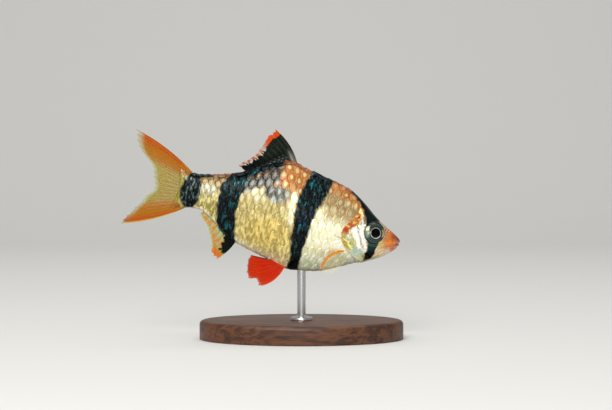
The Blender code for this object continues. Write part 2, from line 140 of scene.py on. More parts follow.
def line_distance(back, up, line):
    """Distance of each point from a line of (back, up) points, seen from the side."""
    nearest = np.full(np.shape(back), np.inf)
    for (b0, u0), (b1, u1) in zip(line, line[1:]):
        run, climb = b1 - b0, u1 - u0
        along = ((back - b0) * run + (up - u0) * climb) / (run ** 2 + climb ** 2)
        along = np.clip(along, 0, 1)
        gap = np.hypot(back - b0 - along * run, up - u0 - along * climb)
        nearest = np.minimum(nearest, gap)
    return nearest


def make_piece(name, builder, material, slot, *nodes):
    """Link a finished bmesh as a piece of the fish or stand in place of the named nodes."""
    mesh = bpy.data.meshes.new(name)
    builder.to_mesh(mesh)
    builder.free()
    mesh.shade_smooth()
    mesh.materials.append(material)
    piece = bpy.data.objects.new(name, mesh)
    bpy.context.scene.collection.objects.link(piece)
    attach(piece, "root")
    if nodes:
        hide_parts(*nodes)
    return piece


def paint_attribute(piece, name, values):
    """Store a colour, or up to four masks, for each point of a piece."""
    attribute = piece.data.attributes.new(name, "FLOAT_COLOR", "POINT")
    rgba = np.ones((len(values), 4))
    rgba[:, :values.shape[1]] = values
    attribute.data.foreach_set("color", rgba.astype(np.float32).ravel())


def srgb(red, green, blue):
    """A colour as the eye names it, 0 to 1, as the linear colour that materials use."""
    return np.array([c / 12.92 if c <= 0.04045 else ((c + 0.055) / 1.055) ** 2.4
                     for c in (red, green, blue)])


def lay(colours, colour, mask):
    return colours + (np.asarray(colour) - colours) * np.asarray(mask)[..., None]


def spot(back, up, centre, radii, softness=0.35):
    """A soft oval mask round a (back, up) centre."""
    distance = np.hypot((back - centre[0]) / radii[0], (up - centre[1]) / radii[1])
    return 1 - ease(distance, 1 - softness, 1 + softness)


HEAD_BAR = (smooth_curve([(-5.9, 5.9), (-4.7, 5.3), (-3.1, 5.0), (-1.7, 4.9), (-1.1, 4.6),
                          (0.7, 4.2), (2.2, 4.7), (3.6, 5.8), (4.5, 6.5), (6.7, 9.0), (8.8, 11.8)]),
            smooth_curve([(-6.2, 7.6), (-5.5, 7.3), (-4.1, 7.3), (-2.3, 7.2), (-0.6, 8.1),
                          (1.8, 8.6), (3.6, 9.0), (5.5, 10.1), (7.1, 11.7), (8.8, 13.6)]))
MIDDLE_BAR = (smooth_curve([(-12.2, 21.3), (-9.1, 21.5), (-6.7, 21.4), (-4.0, 21.2), (-1.5, 21.0),
                            (1.0, 20.6), (3.1, 20.2), (5.7, 19.3), (8.0, 18.7), (10.2, 18.2)]),
              smooth_curve([(-12.2, 24.2), (-9.7, 24.0), (-7.4, 24.4), (-4.8, 24.8), (-2.5, 25.0),
                            (-0.1, 25.2), (2.3, 25.4), (4.7, 25.4), (6.7, 24.9), (8.8, 24.2),
                            (11.0, 23.5)]))
REAR_BAR = (smooth_curve([(-9.3, 37.2), (-7.5, 37.7), (-5.2, 38.2), (-2.9, 38.5), (-0.5, 38.6),
                          (2.0, 38.3), (4.0, 38.0), (7.7, 38.0)]),
            smooth_curve([(-10.7, 40.0), (-8.6, 41.0), (-6.4, 42.3), (-4.2, 43.0), (-1.9, 43.4),
                          (0.5, 43.6), (2.4, 43.7), (4.5, 43.0), (6.0, 41.8)]))
TAIL_SPOT = ((50.3, 0.1), (2.4, 4.2))
BAR_BLUR = 0.16


def ripple(back, up, size, turn=0.0):
    """A smooth uneven pattern, mostly between -1 and 1, with blotches of about this size."""
    waves = 0.0
    for number in range(5):
        angle = turn + 2.4 * number
        phase = (back * math.cos(angle) + up * math.sin(angle)) * math.tau / size
        waves = waves + np.sin(phase * (0.5 + 0.12 * number) + 1.7 * number * number + turn)
    return waves / 2.2


def wobbled(back, up, amount, size):
    """Places shifted a little this way and that, so that painted edges aren't ruled lines."""
    return back + amount * ripple(back, up, size), up + amount * ripple(back, up, size, 1.0)


PREOPERCLE = [(10.4, 2.2), (10.3, 1.0), (9.7, -0.3), (9.0, -1.7), (8.2, -3.4), (7.4, -4.6),
              (6.3, -5.2)]
SUBOPERCLE = [(9.2, -3.7), (10.7, -3.8), (12.3, -4.3)]
JAW_FOLD = [(1.9, -1.7), (3.0, -2.9), (4.6, -4.1), (6.6, -5.2)]
CHEEK_FOLD = [(3.6, -0.6), (4.4, -1.9), (6.2, -2.5), (8.0, -1.6)]
NOSTRILS = [(3.15, 1.75), (3.75, 1.95)]
MOUTH_HALF_WIDTH, MOUTH_DEPTH, MOUTH_DROP, MOUTH_UP = 1.5, 1.6, 1.0, -0.45
GROOVES = [(PREOPERCLE, 0.13, 0.16), (SUBOPERCLE, 0.08, 0.12), (JAW_FOLD, 0.09, 0.15),
           (CHEEK_FOLD, 0.06, 0.14)]

BLACK, TEAL, BLUE = srgb(0.02, 0.04, 0.045), srgb(0.06, 0.30, 0.32), srgb(0.09, 0.29, 0.44)
WHITE, CREAM, CHAMPAGNE = srgb(0.98, 0.98, 0.94), srgb(0.92, 0.90, 0.70), srgb(0.82, 0.77, 0.50)
GOLD, OLIVE, TAN = srgb(0.69, 0.61, 0.33), srgb(0.58, 0.53, 0.20), srgb(0.70, 0.60, 0.40)
ORANGE, RED = srgb(0.80, 0.44, 0.10), srgb(0.72, 0.22, 0.03)


def bars(back, up, blur):
    """The black of the fish: head bar, two body bars, the ridge by the dorsal fin, tail spot."""
    chin = ease(up - belly_line(back), 0.25, 0.75)
    back, up = wobbled(back, up, 0.12, 1.5)
    depth = back_line(back) - up
    ridge = ease(back, 30.4, 31.4) * (back < 41) * ease(
        depth, 1.1 + 0.13 * (back - 30) + blur, 0.8 + 0.1 * (back - 30))
    stem_top = ease(back, 45.6, 46.8) * (back < 51) * ease(depth, 0.7 + blur, 0.5)
    dark = np.maximum(ridge, stem_top)
    for number, (front, rear) in enumerate((HEAD_BAR, MIDDLE_BAR, REAR_BAR)):
        ahead, behind = front(up), rear(up)
        bar = ease(back, ahead - blur, ahead + blur)
        bar = bar * (1 - ease(back, behind - blur, behind + blur))
        dark = np.maximum(dark, bar * chin if number == 0 else bar)
    return np.maximum(dark, spot(back, up, *TAIL_SPOT, softness=0.05 + blur / 4))


def height_share(back, up):
    """How far up the body a point lies, from 0 on the belly's line to 1 on the back's."""
    return (up - belly_line(back)) / np.maximum(back_line(back) - belly_line(back), 0.1)


def edge_behind(back, up):
    """Distance behind the gill cover's edge, less than 0 on the head."""
    sine = np.clip(2 * height_share(back, up) - 1, -1, 1)
    return back - gill_edge(np.degrees(np.arcsin(sine)))


def flank_paints(back, up):
    """Colours of the flank between the scales' pale hearts, and on the hearts themselves, with
    painted highlights laid in among them.
    """
    share = height_share(back, up)
    depth = back_line(back) - up
    front, stem = 1 - ease(back, 20.0, 25.0), ease(back, 38.0, 43.0)
    ahead, behind = MIDDLE_BAR[0](up) - back, back - MIDDLE_BAR[1](up)
    edge = edge_behind(back, up)
    highlight_ahead = ease(ahead, -0.2, 0.2) * (1 - ease(ahead, 1.0, 2.6)) * ease(up, -6, -1)
    highlight_behind = ease(behind, 0.0, 0.4) * (1 - ease(behind, 1.0, 2.0)) * ease(up, -4, 0.5)
    net = ease(back, 29.4, 31.2) * (1 - ease(back, 38.0, 39.0)) * (1 - ease(depth, 4.6, 6.0))
    net = np.maximum(net, 0.9 * spot(back, up, (32.7, 5.2), (0.9, 2.2), 0.4))
    ridge = np.where(front > 0.5, ease(depth, 3.2, 1.8), ease(share, 0.70, 0.78))
    ridge = ridge * ease(back, 32.0, 30.5)
    layers = [
        (GOLD, CHAMPAGNE, 1.0),
        # The pale silvery front flank, its cream painted near white as a painted highlight.
        (srgb(0.94, 0.93, 0.75), srgb(0.98, 0.97, 0.87), front * ease(share, 0.08, 0.30)),
        (OLIVE, CHAMPAGNE, 0.8 * stem),
        (CREAM, WHITE, 0.6 * (1 - ease(share, 0.02, 0.12))),
        (srgb(0.84, 0.90, 0.74), WHITE, 0.8 * front * (1 - ease(share, 0.14, 0.26))),
        (TAN, srgb(0.60, 0.46, 0.26), 0.8 * ease(share, 0.04, 0.0)),
        (srgb(0.70, 0.60, 0.24), srgb(0.87, 0.75, 0.36),
         0.7 * (1 - front) * spot(back, up, (30.5, -5.0), (5.5, 4.0), 0.6)),
        (TAN, srgb(0.74, 0.72, 0.54), (1 - 0.7 * stem) * ease(share, 0.52, 0.66)),
        (srgb(0.58, 0.46, 0.26), srgb(0.76, 0.72, 0.56),
         0.8 * (1 - stem) * ease(share, 0.66, 0.75)),
        (srgb(0.66, 0.40, 0.12), srgb(0.85, 0.77, 0.52), ridge),
        (srgb(0.50, 0.25, 0.07), srgb(0.72, 0.48, 0.20),
         0.9 * (1 - stem) * ease(depth, 1.1, 0.4)),
        (srgb(0.44, 0.32, 0.12), srgb(0.60, 0.51, 0.27), 0.9 * stem * ease(share, 0.60, 0.82)),
        # A painted highlight: pale bluish white on the tail stem.
        (srgb(0.70, 0.68, 0.52), srgb(0.90, 0.93, 0.96),
         spot(back, up, (46.2, 1.4), (1.7, 1.3), 0.5)),
        (srgb(0.42, 0.22, 0.05), srgb(0.54, 0.32, 0.09), stem * ease(depth, 0.7, 0.2)),
        # Painted highlights: white strips along both edges of the middle bar.
        (CREAM, WHITE, 0.9 * highlight_ahead * (1 - ease(up, 2.5, 5.0))),
        (CREAM, WHITE, 0.95 * highlight_behind * (1 - ease(up, 4.6, 6.5))),
        # A painted highlight: a white patch on the upper flank before the rear bar.
        (srgb(0.76, 0.74, 0.54), WHITE, 0.9 * spot(back, up, (35.4, 3.2), (2.3, 1.3), 0.5)),
        # A painted highlight: a white band just behind the lower gill cover's edge.
        (srgb(0.94, 0.93, 0.80), WHITE,
         bell(edge - 0.7, 0.9) * ease(up, -7.0, -4.5) * (1 - ease(up, -2.0, 0.6))),
        (srgb(0.26, 0.24, 0.19), srgb(0.54, 0.68, 0.73),
         0.9 * spot(back, up, (30.2, 4.2), (2.5, 2.0), 0.5)),
        (srgb(0.10, 0.07, 0.03), srgb(0.36, 0.44, 0.43), 0.97 * net),
        (srgb(0.20, 0.12, 0.05), srgb(0.66, 0.55, 0.30),
         bell(depth - 2.2, 0.8) * ease(back, 31.4, 32.4) * (1 - ease(back, 36.8, 38.0))),
        (srgb(0.58, 0.54, 0.18), srgb(0.60, 0.56, 0.20), ease(back, 51.4, 52.8)),
        (srgb(0.60, 0.36, 0.05), srgb(0.60, 0.36, 0.05),
         ease(back, 51.4, 52.2) * ease(np.abs(up), 3.0, 3.9))]
    ground = hearts = np.zeros((*np.shape(back), 3))
    for between, on, mask in layers:
        ground, hearts = lay(ground, between, mask), lay(hearts, on, mask)
    return ground, hearts


# Painted highlights: white bands down the gill cover, each a line and its half width.
GILL_HIGHLIGHTS = [([(11.0, 0.6), (10.3, -0.7), (9.6, -2.0), (8.9, -3.2)], 0.58),
               ([(9.6, 1.3), (9.1, 0.1), (8.3, -1.4), (7.7, -3.6)], 0.66),
               ([(10.1, 3.3), (9.7, 2.5), (9.1, 1.6)], 0.36)]
GILL_MARK = [(10.3, 4.9), (10.9, 3.5), (12.0, 1.5), (13.2, -0.2)]
# Painted reflections: thin bright yellow lines where light catches ridges of the gill cover.
GILL_REFLECTIONS = [[(13.0, -2.1), (10.7, -3.9)], [(11.9, -2.5), (10.9, -3.5)]]


def head_colour(back, up):
    """Painted zones of the scaleless head, laid over one another from the cheek to the snout, with
    painted highlights and reflections on the gill cover.
    """
    bare_up, bare_back = up, back
    back, up = wobbled(back, up, 0.14, 1.2)
    share = height_share(back, up)
    edge, seam = edge_behind(back, up), line_distance(back, up, PREOPERCLE)
    speckle, blotch = ripple(back, up, 0.7), ripple(back, up, 1.3, 2.0)
    mark = ease(line_distance(back, up, GILL_MARK) + 0.25 * speckle, 1.15, 0.65)
    behind_bar = back - HEAD_BAR[1](up)
    layers = [
        (TAN, 1.0),
        (srgb(0.87, 0.78, 0.62), ease(back, 7.5, 4.5) * ease(share, 0.60, 0.35)),
        (srgb(0.70, 0.64, 0.36), 0.85 * spot(back, up, (10.0, -6.5), (3.6, 1.1), 0.5)),
        (srgb(0.78, 0.78, 0.50), ease(edge, -4.8, -3.4) * ease(up, 2.4, 0.8)),
        (srgb(0.90, 0.93, 0.78), 0.9 * spot(back, up, (11.7, -0.8), (0.9, 1.3), 0.6)),
        (OLIVE, 0.8 * ease(speckle, -0.1, 0.8) * ease(edge, -3.4, -2.2) * ease(up, 1.2, -0.4)),
        (srgb(0.62, 0.58, 0.08), 0.85 * spot(back, up, (12.0, -3.1), (1.3, 1.4), 0.6)
         * ease(blotch, -0.9, 0.3)),
        (srgb(0.70, 0.80, 0.76), 0.9 * spot(back, up, (9.3, -4.7), (1.4, 1.1), 0.6)),
        # Painted glints: pale specks on the lowest part of the head.
        (srgb(0.94, 0.92, 0.72), 0.8 * ease(speckle, 0.5, 0.9) * ease(up, -5.0, -6.0)),
        (srgb(0.76, 0.58, 0.08), 0.9 * bell(edge + 0.5, 0.34) * ease(up, 1.2, -0.2)
         * ease(up, -5.2, -4.0)),
        (srgb(0.84, 0.84, 0.70), bell(edge + 0.3, 0.3) * ease(up, -4.0, -5.2))]
    # Bright yellow painted reflections on the gill cover's ridges.
    layers += [(srgb(1.0, 0.98, 0.58), bell(line_distance(back, up, line), 0.17))
               for line in GILL_REFLECTIONS]
    # White painted highlights along those lines.
    layers += [(WHITE, ease(line_distance(back, up, line) + 0.14 * speckle, width + 0.12,
                            width - 0.12)) for line, width in GILL_HIGHLIGHTS]
    layers += [
        (srgb(0.66, 0.58, 0.42), 0.85 * bell(seam, 0.13) * ease(up, -4.4, -3.0)),
        (ORANGE, mark),
        (srgb(0.56, 0.22, 0.03), mark * ease(ripple(back, up, 0.8, 3.0), 0.0, 0.7)),
        (srgb(1.0, 0.80, 0.30), mark * ease(ripple(back, up, 0.7, 4.0), 0.35, 0.9)),
        (RED, spot(back, up, (13.0, -0.1), (0.65, 0.8), 0.5)),
        (RED, spot(back, up, (12.0, 1.4), (0.5, 0.4), 0.5)),
        # A painted highlight: a pale yellow streak above the orange gill mark.
        (srgb(1.0, 0.95, 0.64),
         ease(line_distance(back, up, [(10.8, 5.1), (9.9, 3.9)]), 0.50, 0.2)),
        (srgb(0.40, 0.22, 0.05), 0.85 * bell(behind_bar - 0.2, 0.28) * ease(up, 1.6, 2.6)),
        (srgb(0.60, 0.50, 0.40), 0.9 * spot(back, up, (3.8, 0.9), (0.8, 1.5), 0.6)),
        (srgb(0.80, 0.68, 0.36), 0.8 * spot(back, up, (4.0, -1.7), (0.9, 0.8), 0.5)),
        (srgb(0.76, 0.42, 0.13), 0.95 * ease(back, 4.4, 2.6) * ease(up + 0.35 * back, -1.9, -0.6)),
        (srgb(0.88, 0.46, 0.06), spot(back, up, (2.2, -0.7), (0.9, 0.6), 0.6)),
        (srgb(0.54, 0.20, 0.07), ease(back, 3.0, 1.0) * ease(up, -0.4, 0.5)),
        (srgb(0.80, 0.38, 0.17), spot(back, up, (0.9, -1.9), (1.1, 0.8), 0.5)),
        (srgb(0.26, 0.10, 0.12), ease(back, 0.9, 0.2) * ease(up, -0.45, 0.0)),
        (srgb(0.56, 0.20, 0.06), 0.85 * bell(back_line(bare_back) - bare_up, 0.16)
         * ease(back, 6.8, 5.4) * ease(back, 1.2, 2.4)),
        (srgb(0.50, 0.28, 0.12), 0.7 * ease(share, 0.07, 0.0) * ease(back, 2.0, 5.0))]
    colours = np.zeros((*np.shape(back), 3))
    for colour, mask in layers:
        colours = lay(colours, colour, mask)
    return colours


def mouth_place(points):
    """Distance from the line of the mouth, height over it, and how near its corner, 0 to 1."""
    turns = np.linspace(-math.pi / 2, math.pi / 2, 61)
    line = np.stack([MOUTH_DEPTH * (1 - np.cos(turns)), MOUTH_HALF_WIDTH * np.sin(turns),
                     MOUTH_UP - MOUTH_DROP * (1 - np.cos(turns))], -1)
    gaps = np.linalg.norm(points[:, None, :] - line[None], axis=-1)
    nearest = gaps.argmin(1)
    return gaps.min(1), points[:, 2] - line[nearest, 2], np.abs(turns[nearest]) / (math.pi / 2)


EYE_BACK, EYE_UP = 6.3, 0.7
EYE_FORWARD, EYE_RAISED = math.radians(13), math.radians(9)
EYE_RADII, EYE_DEPTH, EYE_INSET = (2.85, 2.80), 1.3, 0.8


def eye_place():
    """Centre of the left eye and its axes: backwards, upwards and outwards."""
    sine = 2 * float(height_share(EYE_BACK, EYE_UP)) - 1
    forward, raised = EYE_FORWARD, EYE_RAISED
    axes = np.array([(math.cos(forward), math.sin(forward), 0),
                     (math.sin(forward) * math.sin(raised), -math.cos(forward) * math.sin(raised),
                      math.cos(raised)),
                     (-math.sin(forward) * math.cos(raised), math.cos(forward) * math.cos(raised),
                      math.sin(raised))])
    return body_point(EYE_BACK, math.asin(sine)) - EYE_INSET * axes[2], axes


ORBIT, ORBIT_DEPTH, RIM_WIDTH, RIM_RISE = 2.52, 0.45, 0.65, 0.06


def open_orbits(points):
    """Sink the skin under each eye and draw it up into a soft rim round the opening."""
    centre, axes = eye_place()
    hand = np.where(points[:, 1] < 0, -1.0, 1.0)
    left = points * np.stack([np.ones_like(hand), hand, np.ones_like(hand)], -1)
    x, y, z = ((left - centre) @ axes.T).T
    radius = np.hypot(x, y)
    off_axis = (x / EYE_RADII[0]) ** 2 + (y / EYE_RADII[1]) ** 2
    globe = EYE_DEPTH * np.sqrt(np.clip(1 - off_axis, 0, 1))
    near = (z > -1.5) & (radius < 4.0)
    rim = np.maximum(z, globe + 0.02) + RIM_RISE
    level = z + (rim - z) * (1 - ease(radius, ORBIT + 0.1, ORBIT + RIM_WIDTH))
    level += (globe - ORBIT_DEPTH - level) * (1 - ease(radius, ORBIT - 0.2, ORBIT))
    moved = left + axes[2] * np.where(near, level - z, 0.0)[:, None]
    moved[:, 1] *= hand
    return moved


def skin_relief(points):
    """How far the skin stands out at each point for the features of the head, in mm."""
    back, side, up = points.T
    rise = 0.05 * bell(line_distance(back, up, PREOPERCLE) - 0.5, 0.3)
    for line, depth, width in GROOVES:
        rise -= depth * bell(line_distance(back, up, line), width)
    for nostril in NOSTRILS:
        hole = np.hypot(back - nostril[0], up - nostril[1])
        rise += 0.10 * bell(hole - 0.34, 0.13) - 0.32 * bell(hole, 0.19)
    face = back < 4.0
    gap, over, corner = mouth_place(points[face])
    fade = 1 - ease(corner, 0.75, 1.0) * 0.6
    lips = np.where(over > 0, 0.24 * bell(gap - 0.48, 0.34), 0.18 * bell(gap - 0.40, 0.24))
    rise[face] += (lips - 0.30 * bell(gap, 0.13)) * fade
    return rise


def ball_grid(around, rows):
    """A ball of rows from pole to pole, with the row and the angle of each point."""
    ball = bmesh.new()
    bmesh.ops.create_uvsphere(ball, u_segments=around, v_segments=rows, radius=1)
    points = np.array([vertex.co for vertex in ball.verts])
    places = np.rint(np.arccos(np.clip(-points[:, 2], -1, 1)) / math.pi * rows)
    return ball, places, np.arctan2(points[:, 1], points[:, 0])


def set_points(builder, points):
    """Move a builder's points to places in the fish's axes, with all its faces outwards."""
    for vertex, point in zip(builder.verts, fish_to_world(points) / MM):
        vertex.co = point
    bmesh.ops.recalc_face_normals(builder, faces=builder.faces)
    if builder.calc_volume(signed=True) < 0:
        bmesh.ops.reverse_faces(builder, faces=builder.faces)
    bmesh.ops.scale(builder, verts=builder.verts, vec=(MM, MM, MM))
    builder.normal_update()


def make_grain():
    """Noise on a piece's own coordinates, turned and drawn out along the turned axes."""
    group = bpy.data.node_groups.new("grain", "ShaderNodeTree")
    for name, kind in (("Scale", "NodeSocketFloat"), ("Detail", "NodeSocketFloat"),
                       ("Turn", "NodeSocketVector"), ("Stretch", "NodeSocketVector")):
        group.interface.new_socket(name, in_out="INPUT", socket_type=kind)
    group.interface.new_socket("Grain", in_out="OUTPUT", socket_type="NodeSocketFloat")
    nodes, links = group.nodes, group.links
    taken, given = nodes.new("NodeGroupInput"), nodes.new("NodeGroupOutput")
    place, noise = nodes.new("ShaderNodeTexCoord"), nodes.new("ShaderNodeTexNoise")
    turn = nodes.new("ShaderNodeMapping")
    turn.vector_type = "TEXTURE"
    for start, end in ((place.outputs["Object"], turn.inputs["Vector"]),
                       (taken.outputs["Turn"], turn.inputs["Rotation"]),
                       (taken.outputs["Stretch"], turn.inputs["Scale"]),
                       (turn.outputs["Vector"], noise.inputs["Vector"]),
                       (taken.outputs["Scale"], noise.inputs["Scale"]),
                       (taken.outputs["Detail"], noise.inputs["Detail"]),
                       (noise.outputs["Fac"], given.inputs["Grain"])):
        links.new(start, end)
    return group


grain_group = make_grain()


class Finish:
    """A Principled material, with short ways to add the nodes of its pattern."""

    GRAIN_LOW, GRAIN_HIGH = 0.3, 0.7
    MIX_FIRST, MIX_SECOND, MIX_RESULT = 6, 7, 2

    def __init__(self, name, roughness, metallic=0.0, coat=0.0, coat_roughness=0.1,
                 specular=0.5):
        self.material = bpy.data.materials.new(name)
        self.material.use_nodes = True
        self.nodes, self.links = self.material.node_tree.nodes, self.material.node_tree.links
        self.sockets = self.nodes["Principled BSDF"].inputs
        for socket, value in (("Roughness", roughness), ("Metallic", metallic),
                              ("Coat Weight", coat), ("Coat Roughness", coat_roughness),
                              ("Specular IOR Level", specular)):
            self.sockets[socket].default_value = value

    def node(self, kind, **settings):
        node = self.nodes.new("ShaderNode" + kind)
        for name, value in settings.items():
            setattr(node, name, value)
        return node

    def feed(self, socket, value):
        """Link a pattern to a socket, or set a plain value on it."""
        if isinstance(value, bpy.types.NodeSocket):
            self.links.new(value, socket)
        else:
            socket.default_value = value

    def drive(self, name, value):
        """Link a pattern to the shader's own socket of this name."""
        self.links.new(value, self.sockets[name])

    def math(self, operation, first, second=0.0, third=0.0):
        node = self.node("Math", operation=operation)
        for socket, value in zip(node.inputs, (first, second, third)):
            self.feed(socket, value)
        return node.outputs[0]

    def ranged(self, value, low, high, to_low=0.0, to_high=1.0, smooth=False):
        node = self.node("MapRange", interpolation_type="SMOOTHSTEP" if smooth else "LINEAR")
        for name, number in (("Value", value), ("From Min", low), ("From Max", high),
                             ("To Min", to_low), ("To Max", to_high)):
            self.feed(node.inputs[name], number)
        return node.outputs["Result"]

    def graded(self, grain, low, high):
        """Spread grain, whose noise stays near the middle, over a range of values."""
        return self.ranged(grain, self.GRAIN_LOW, self.GRAIN_HIGH, low, high)

    def mix(self, factor, first, second, blend="MIX"):
        """Mix two colours, each a pattern or a plain colour."""
        node = self.node("Mix", data_type="RGBA", blend_type=blend)
        self.feed(node.inputs["Factor"], factor)
        for number, value in ((self.MIX_FIRST, first), (self.MIX_SECOND, second)):
            plain = not isinstance(value, bpy.types.NodeSocket)
            self.feed(node.inputs[number], (*value, 1.0) if plain else value)
        return node.outputs[self.MIX_RESULT]

    def stored(self, name):
        """The colour and alpha that a piece stores for each of its points."""
        return self.node("Attribute", attribute_name=name).outputs

    def masks(self, name="masks"):
        """A stored colour's parts, each a mask of its own."""
        parts = self.node("SeparateColor")
        self.links.new(self.stored(name)["Color"], parts.inputs["Color"])
        return parts.outputs

    def grain(self, scale, detail=3.0, stretch=(1, 1, 1), turn=PITCH):
        """Grain for the fish, whose axes are tilted, or with a turn of 0 for its stand."""
        node = self.node("Group", node_tree=grain_group)
        for name, value in (("Scale", scale), ("Detail", detail), ("Turn", (0, turn, 0)),
                            ("Stretch", stretch)):
            node.inputs[name].default_value = value
        return node.outputs["Grain"]

    def mottled_paint(self, grain, low, high):
        """The piece's painted colours, made darker and lighter by grain."""
        return self.mix(1.0, self.stored("paint")["Color"], self.graded(grain, low, high),
                        "MULTIPLY")

    def bump(self, height, distance, strength):
        node = self.node("Bump")
        node.inputs["Distance"].default_value = distance
        node.inputs["Strength"].default_value = strength
        self.links.new(height, node.inputs["Height"])
        self.drive("Normal", node.outputs["Normal"])


def skin_material():
    """Painted wet skin: the stored colours, mottled, with silver and white painted glints where the
    masks say so.
    """
    skin = Finish("wet_skin", 0.35, specular=0.35)
    masks = skin.masks()
    silver, dark = masks["Red"], masks["Green"]
    mottle = skin.grain(2400.0, 4.0)
    flecks = skin.grain(4200.0, 2.0, (1, 1, 2.2))
    # White painted glints where the fine flecks and the silver mask meet.
    painted_glitter = skin.math("MULTIPLY", skin.ranged(flecks, 0.55, 0.70, smooth=True), silver)
    colour = skin.mix(skin.math("MULTIPLY", painted_glitter, 0.6),
                      skin.mottled_paint(mottle, 0.66, 1.16), WHITE)
    skin.drive("Base Color", colour)
    metal = skin.math("MULTIPLY_ADD", dark, 0.9, skin.math("MULTIPLY", silver, 0.35))
    skin.drive("Metallic", metal)
    skin.drive("Coat Weight", skin.math("MULTIPLY_ADD", dark, -0.5, 0.6))
    skin.drive("Roughness", skin.graded(mottle, 0.24, 0.44))
    skin.bump(skin.math("ADD", mottle, flecks), 0.00006, 0.6)
    return skin.material


def make_skin():
    rows = HEAD_ROWS + BODY_ROWS
    ball, row, angle = ball_grid(SKIN_AROUND, rows)
    rise = np.degrees(np.arcsin(np.sin(angle)))
    cut = gill_edge(rise)
    tail = TAIL_EDGE - TAIL_BULGE * np.cos(np.radians(rise)) ** 2
    head_back = cut * (np.minimum(row, HEAD_ROWS) / HEAD_ROWS) ** NOSE_CROWDING
    along = np.maximum(row - HEAD_ROWS - 1, 0) / (BODY_ROWS - 2)
    body_back = cut + GILL_STEP + (tail - cut - GILL_STEP) * np.minimum(along, 1)
    back = np.where(row <= HEAD_ROWS, head_back, body_back)
    flare = GILL_RIM * (ease(rise, -110, -60) - ease(rise, 22, 40)) * ease(back, cut - 1.8, cut)
    sunk = -SKIN_DEPTH * ease(back, cut, cut + GILL_STEP)
    points = body_point(back, angle, np.where(row <= HEAD_ROWS, flare, sunk))
    points[row == rows] = (TAIL_EDGE - TAIL_BULGE, 0, 0)
    set_points(ball, points)
    normals = np.array([vertex.normal for vertex in ball.verts])
    relief = skin_relief(points) * MM
    raised = world_to_fish(fish_to_world(points) + normals * relief[:, None])
    set_points(ball, open_orbits(raised))
    skin = make_piece("skin", ball, skin_material(), "skin", "head", "trunk", "tail_stem")

    back, side, up = points.T
    on_head = 1 - ease(back, cut - 0.02, cut + 0.1)
    ground, hearts = flank_paints(back, up)
    colours = lay(lay(ground, hearts, 0.4), head_colour(back, up), on_head)
    dark = bars(back, up, BAR_BLUR)
    from_eye = np.hypot(back - EYE_BACK, up - EYE_UP)
    black = np.tile(BLACK, (len(back), 1))
    black = lay(black, srgb(0.09, 0.17, 0.18),
                0.9 * spot(back, up, (8.5, 4.4), (1.4, 2.4), 0.6))
    black = lay(black, srgb(0.12, 0.24, 0.24),
                0.85 * spot(back, up, (6.4, -2.6), (1.0, 1.1), 0.6))
    for radius in (2.75, 3.1):
        arc = bell(from_eye - radius, 0.09) * ease(up, -0.6, -1.4)
        black = lay(black, srgb(0.34, 0.50, 0.46), 0.7 * arc)
    colours = lay(colours, black, dark)
    gap, over, corner = mouth_place(points)
    near = ease(back, 4.0, 3.0)
    lip = np.where(over[:, None] > 0, srgb(0.62, 0.42, 0.36), srgb(0.80, 0.42, 0.22))
    colours = lay(colours, lip, 0.8 * ease(gap, 1.0, 0.5) * near)
    # Painted shade: a dark line in the slit of the mouth.
    colours = lay(colours, srgb(0.20, 0.06, 0.05),
                  0.8 * bell(gap, 0.10) * (1 - 0.7 * ease(corner, 0.6, 1.0)) * near)
    paint_attribute(skin, "paint", colours)
    # The silver mask sets where the skin is metallic and where it gets white painted glints.
    silver = np.where(on_head > 0.5, spot(back, up, (10.0, -1.0), (3.6, 4.8), 0.5),
                      0.6 * ease(back, 52.0, 51.0))
    paint_attribute(skin, "masks", np.stack([silver * (1 - dark), dark, on_head], -1))
    return skin


skin = make_skin()


# Scales
# Overlapping round plates of clear horn over silvery skin, set in staggered rows like roof
# tiles, each rooted under the one ahead. They shrink towards the tail.

SCALE_FIRST, SCALE_LAST = 6.4, 52.0
ROW_HEIGHT = smooth_curve([(8.0, 2.1), (20.0, 2.2), (30.0, 2.15), (38.0, 1.85), (46.0, 1.5),
                           (54.0, 1.35)])
SCALE_PITCH = smooth_curve([(8.0, 1.8), (20.0, 1.93), (34.0, 1.85), (46.0, 1.55), (54.0, 1.3)])
SCALE_LENGTH, SCALE_HEIGHT = 2.15, 1.72
SCALE_CELLS = 8
SIDE_STEPS = 73
SCALE_ROOT, SCALE_DOME = -0.20, 0.04
SCALE_TIP_LOW, SCALE_TIP_HIGH = 0.04, 0.12
SCALE_TILT, SCALE_ROLL, SIZE_SPREAD = 0.02, 0.02, 0.03
SCALE_THICKNESS = 0.03
SCALES_UNDER_COVER, SCALES_OVER_EDGE = 0.6, 0.3
OWN_PLACE = 0.85
BAKE_LENGTH, BAKE_ROWS, BAKE_PATCH = 60, 18, 0.003
HIGHEST_ROW = 7
HEART_PLACE, HEART_RADII, HEART_POWER = (0.74, 0.5), (0.12, 0.21), 1.4


def angle_along(back, distance):
    """The angle at a distance up or down the body's side from its middle, along the skin."""
    angles = np.linspace(-math.pi / 2, math.pi / 2, SIDE_STEPS)
    ring = body_point(back[:, None], angles[None])
    steps = np.linalg.norm(np.diff(ring[..., 1:], axis=1), axis=-1)
    length = np.concatenate([np.zeros((len(back), 1)), np.cumsum(steps, 1)], 1)
    length -= length[:, len(angles) // 2][:, None]
    i = np.clip((length < distance[:, None]).sum(1) - 1, 0, len(angles) - 2)
    rows = np.arange(len(back))
    share = (distance - length[rows, i]) / (length[rows, i + 1] - length[rows, i])
    reach = np.clip(share, -0.5, 1.5)
    return angles[i] + reach * (angles[1] - angles[0]), length[:, 0], length[:, -1]


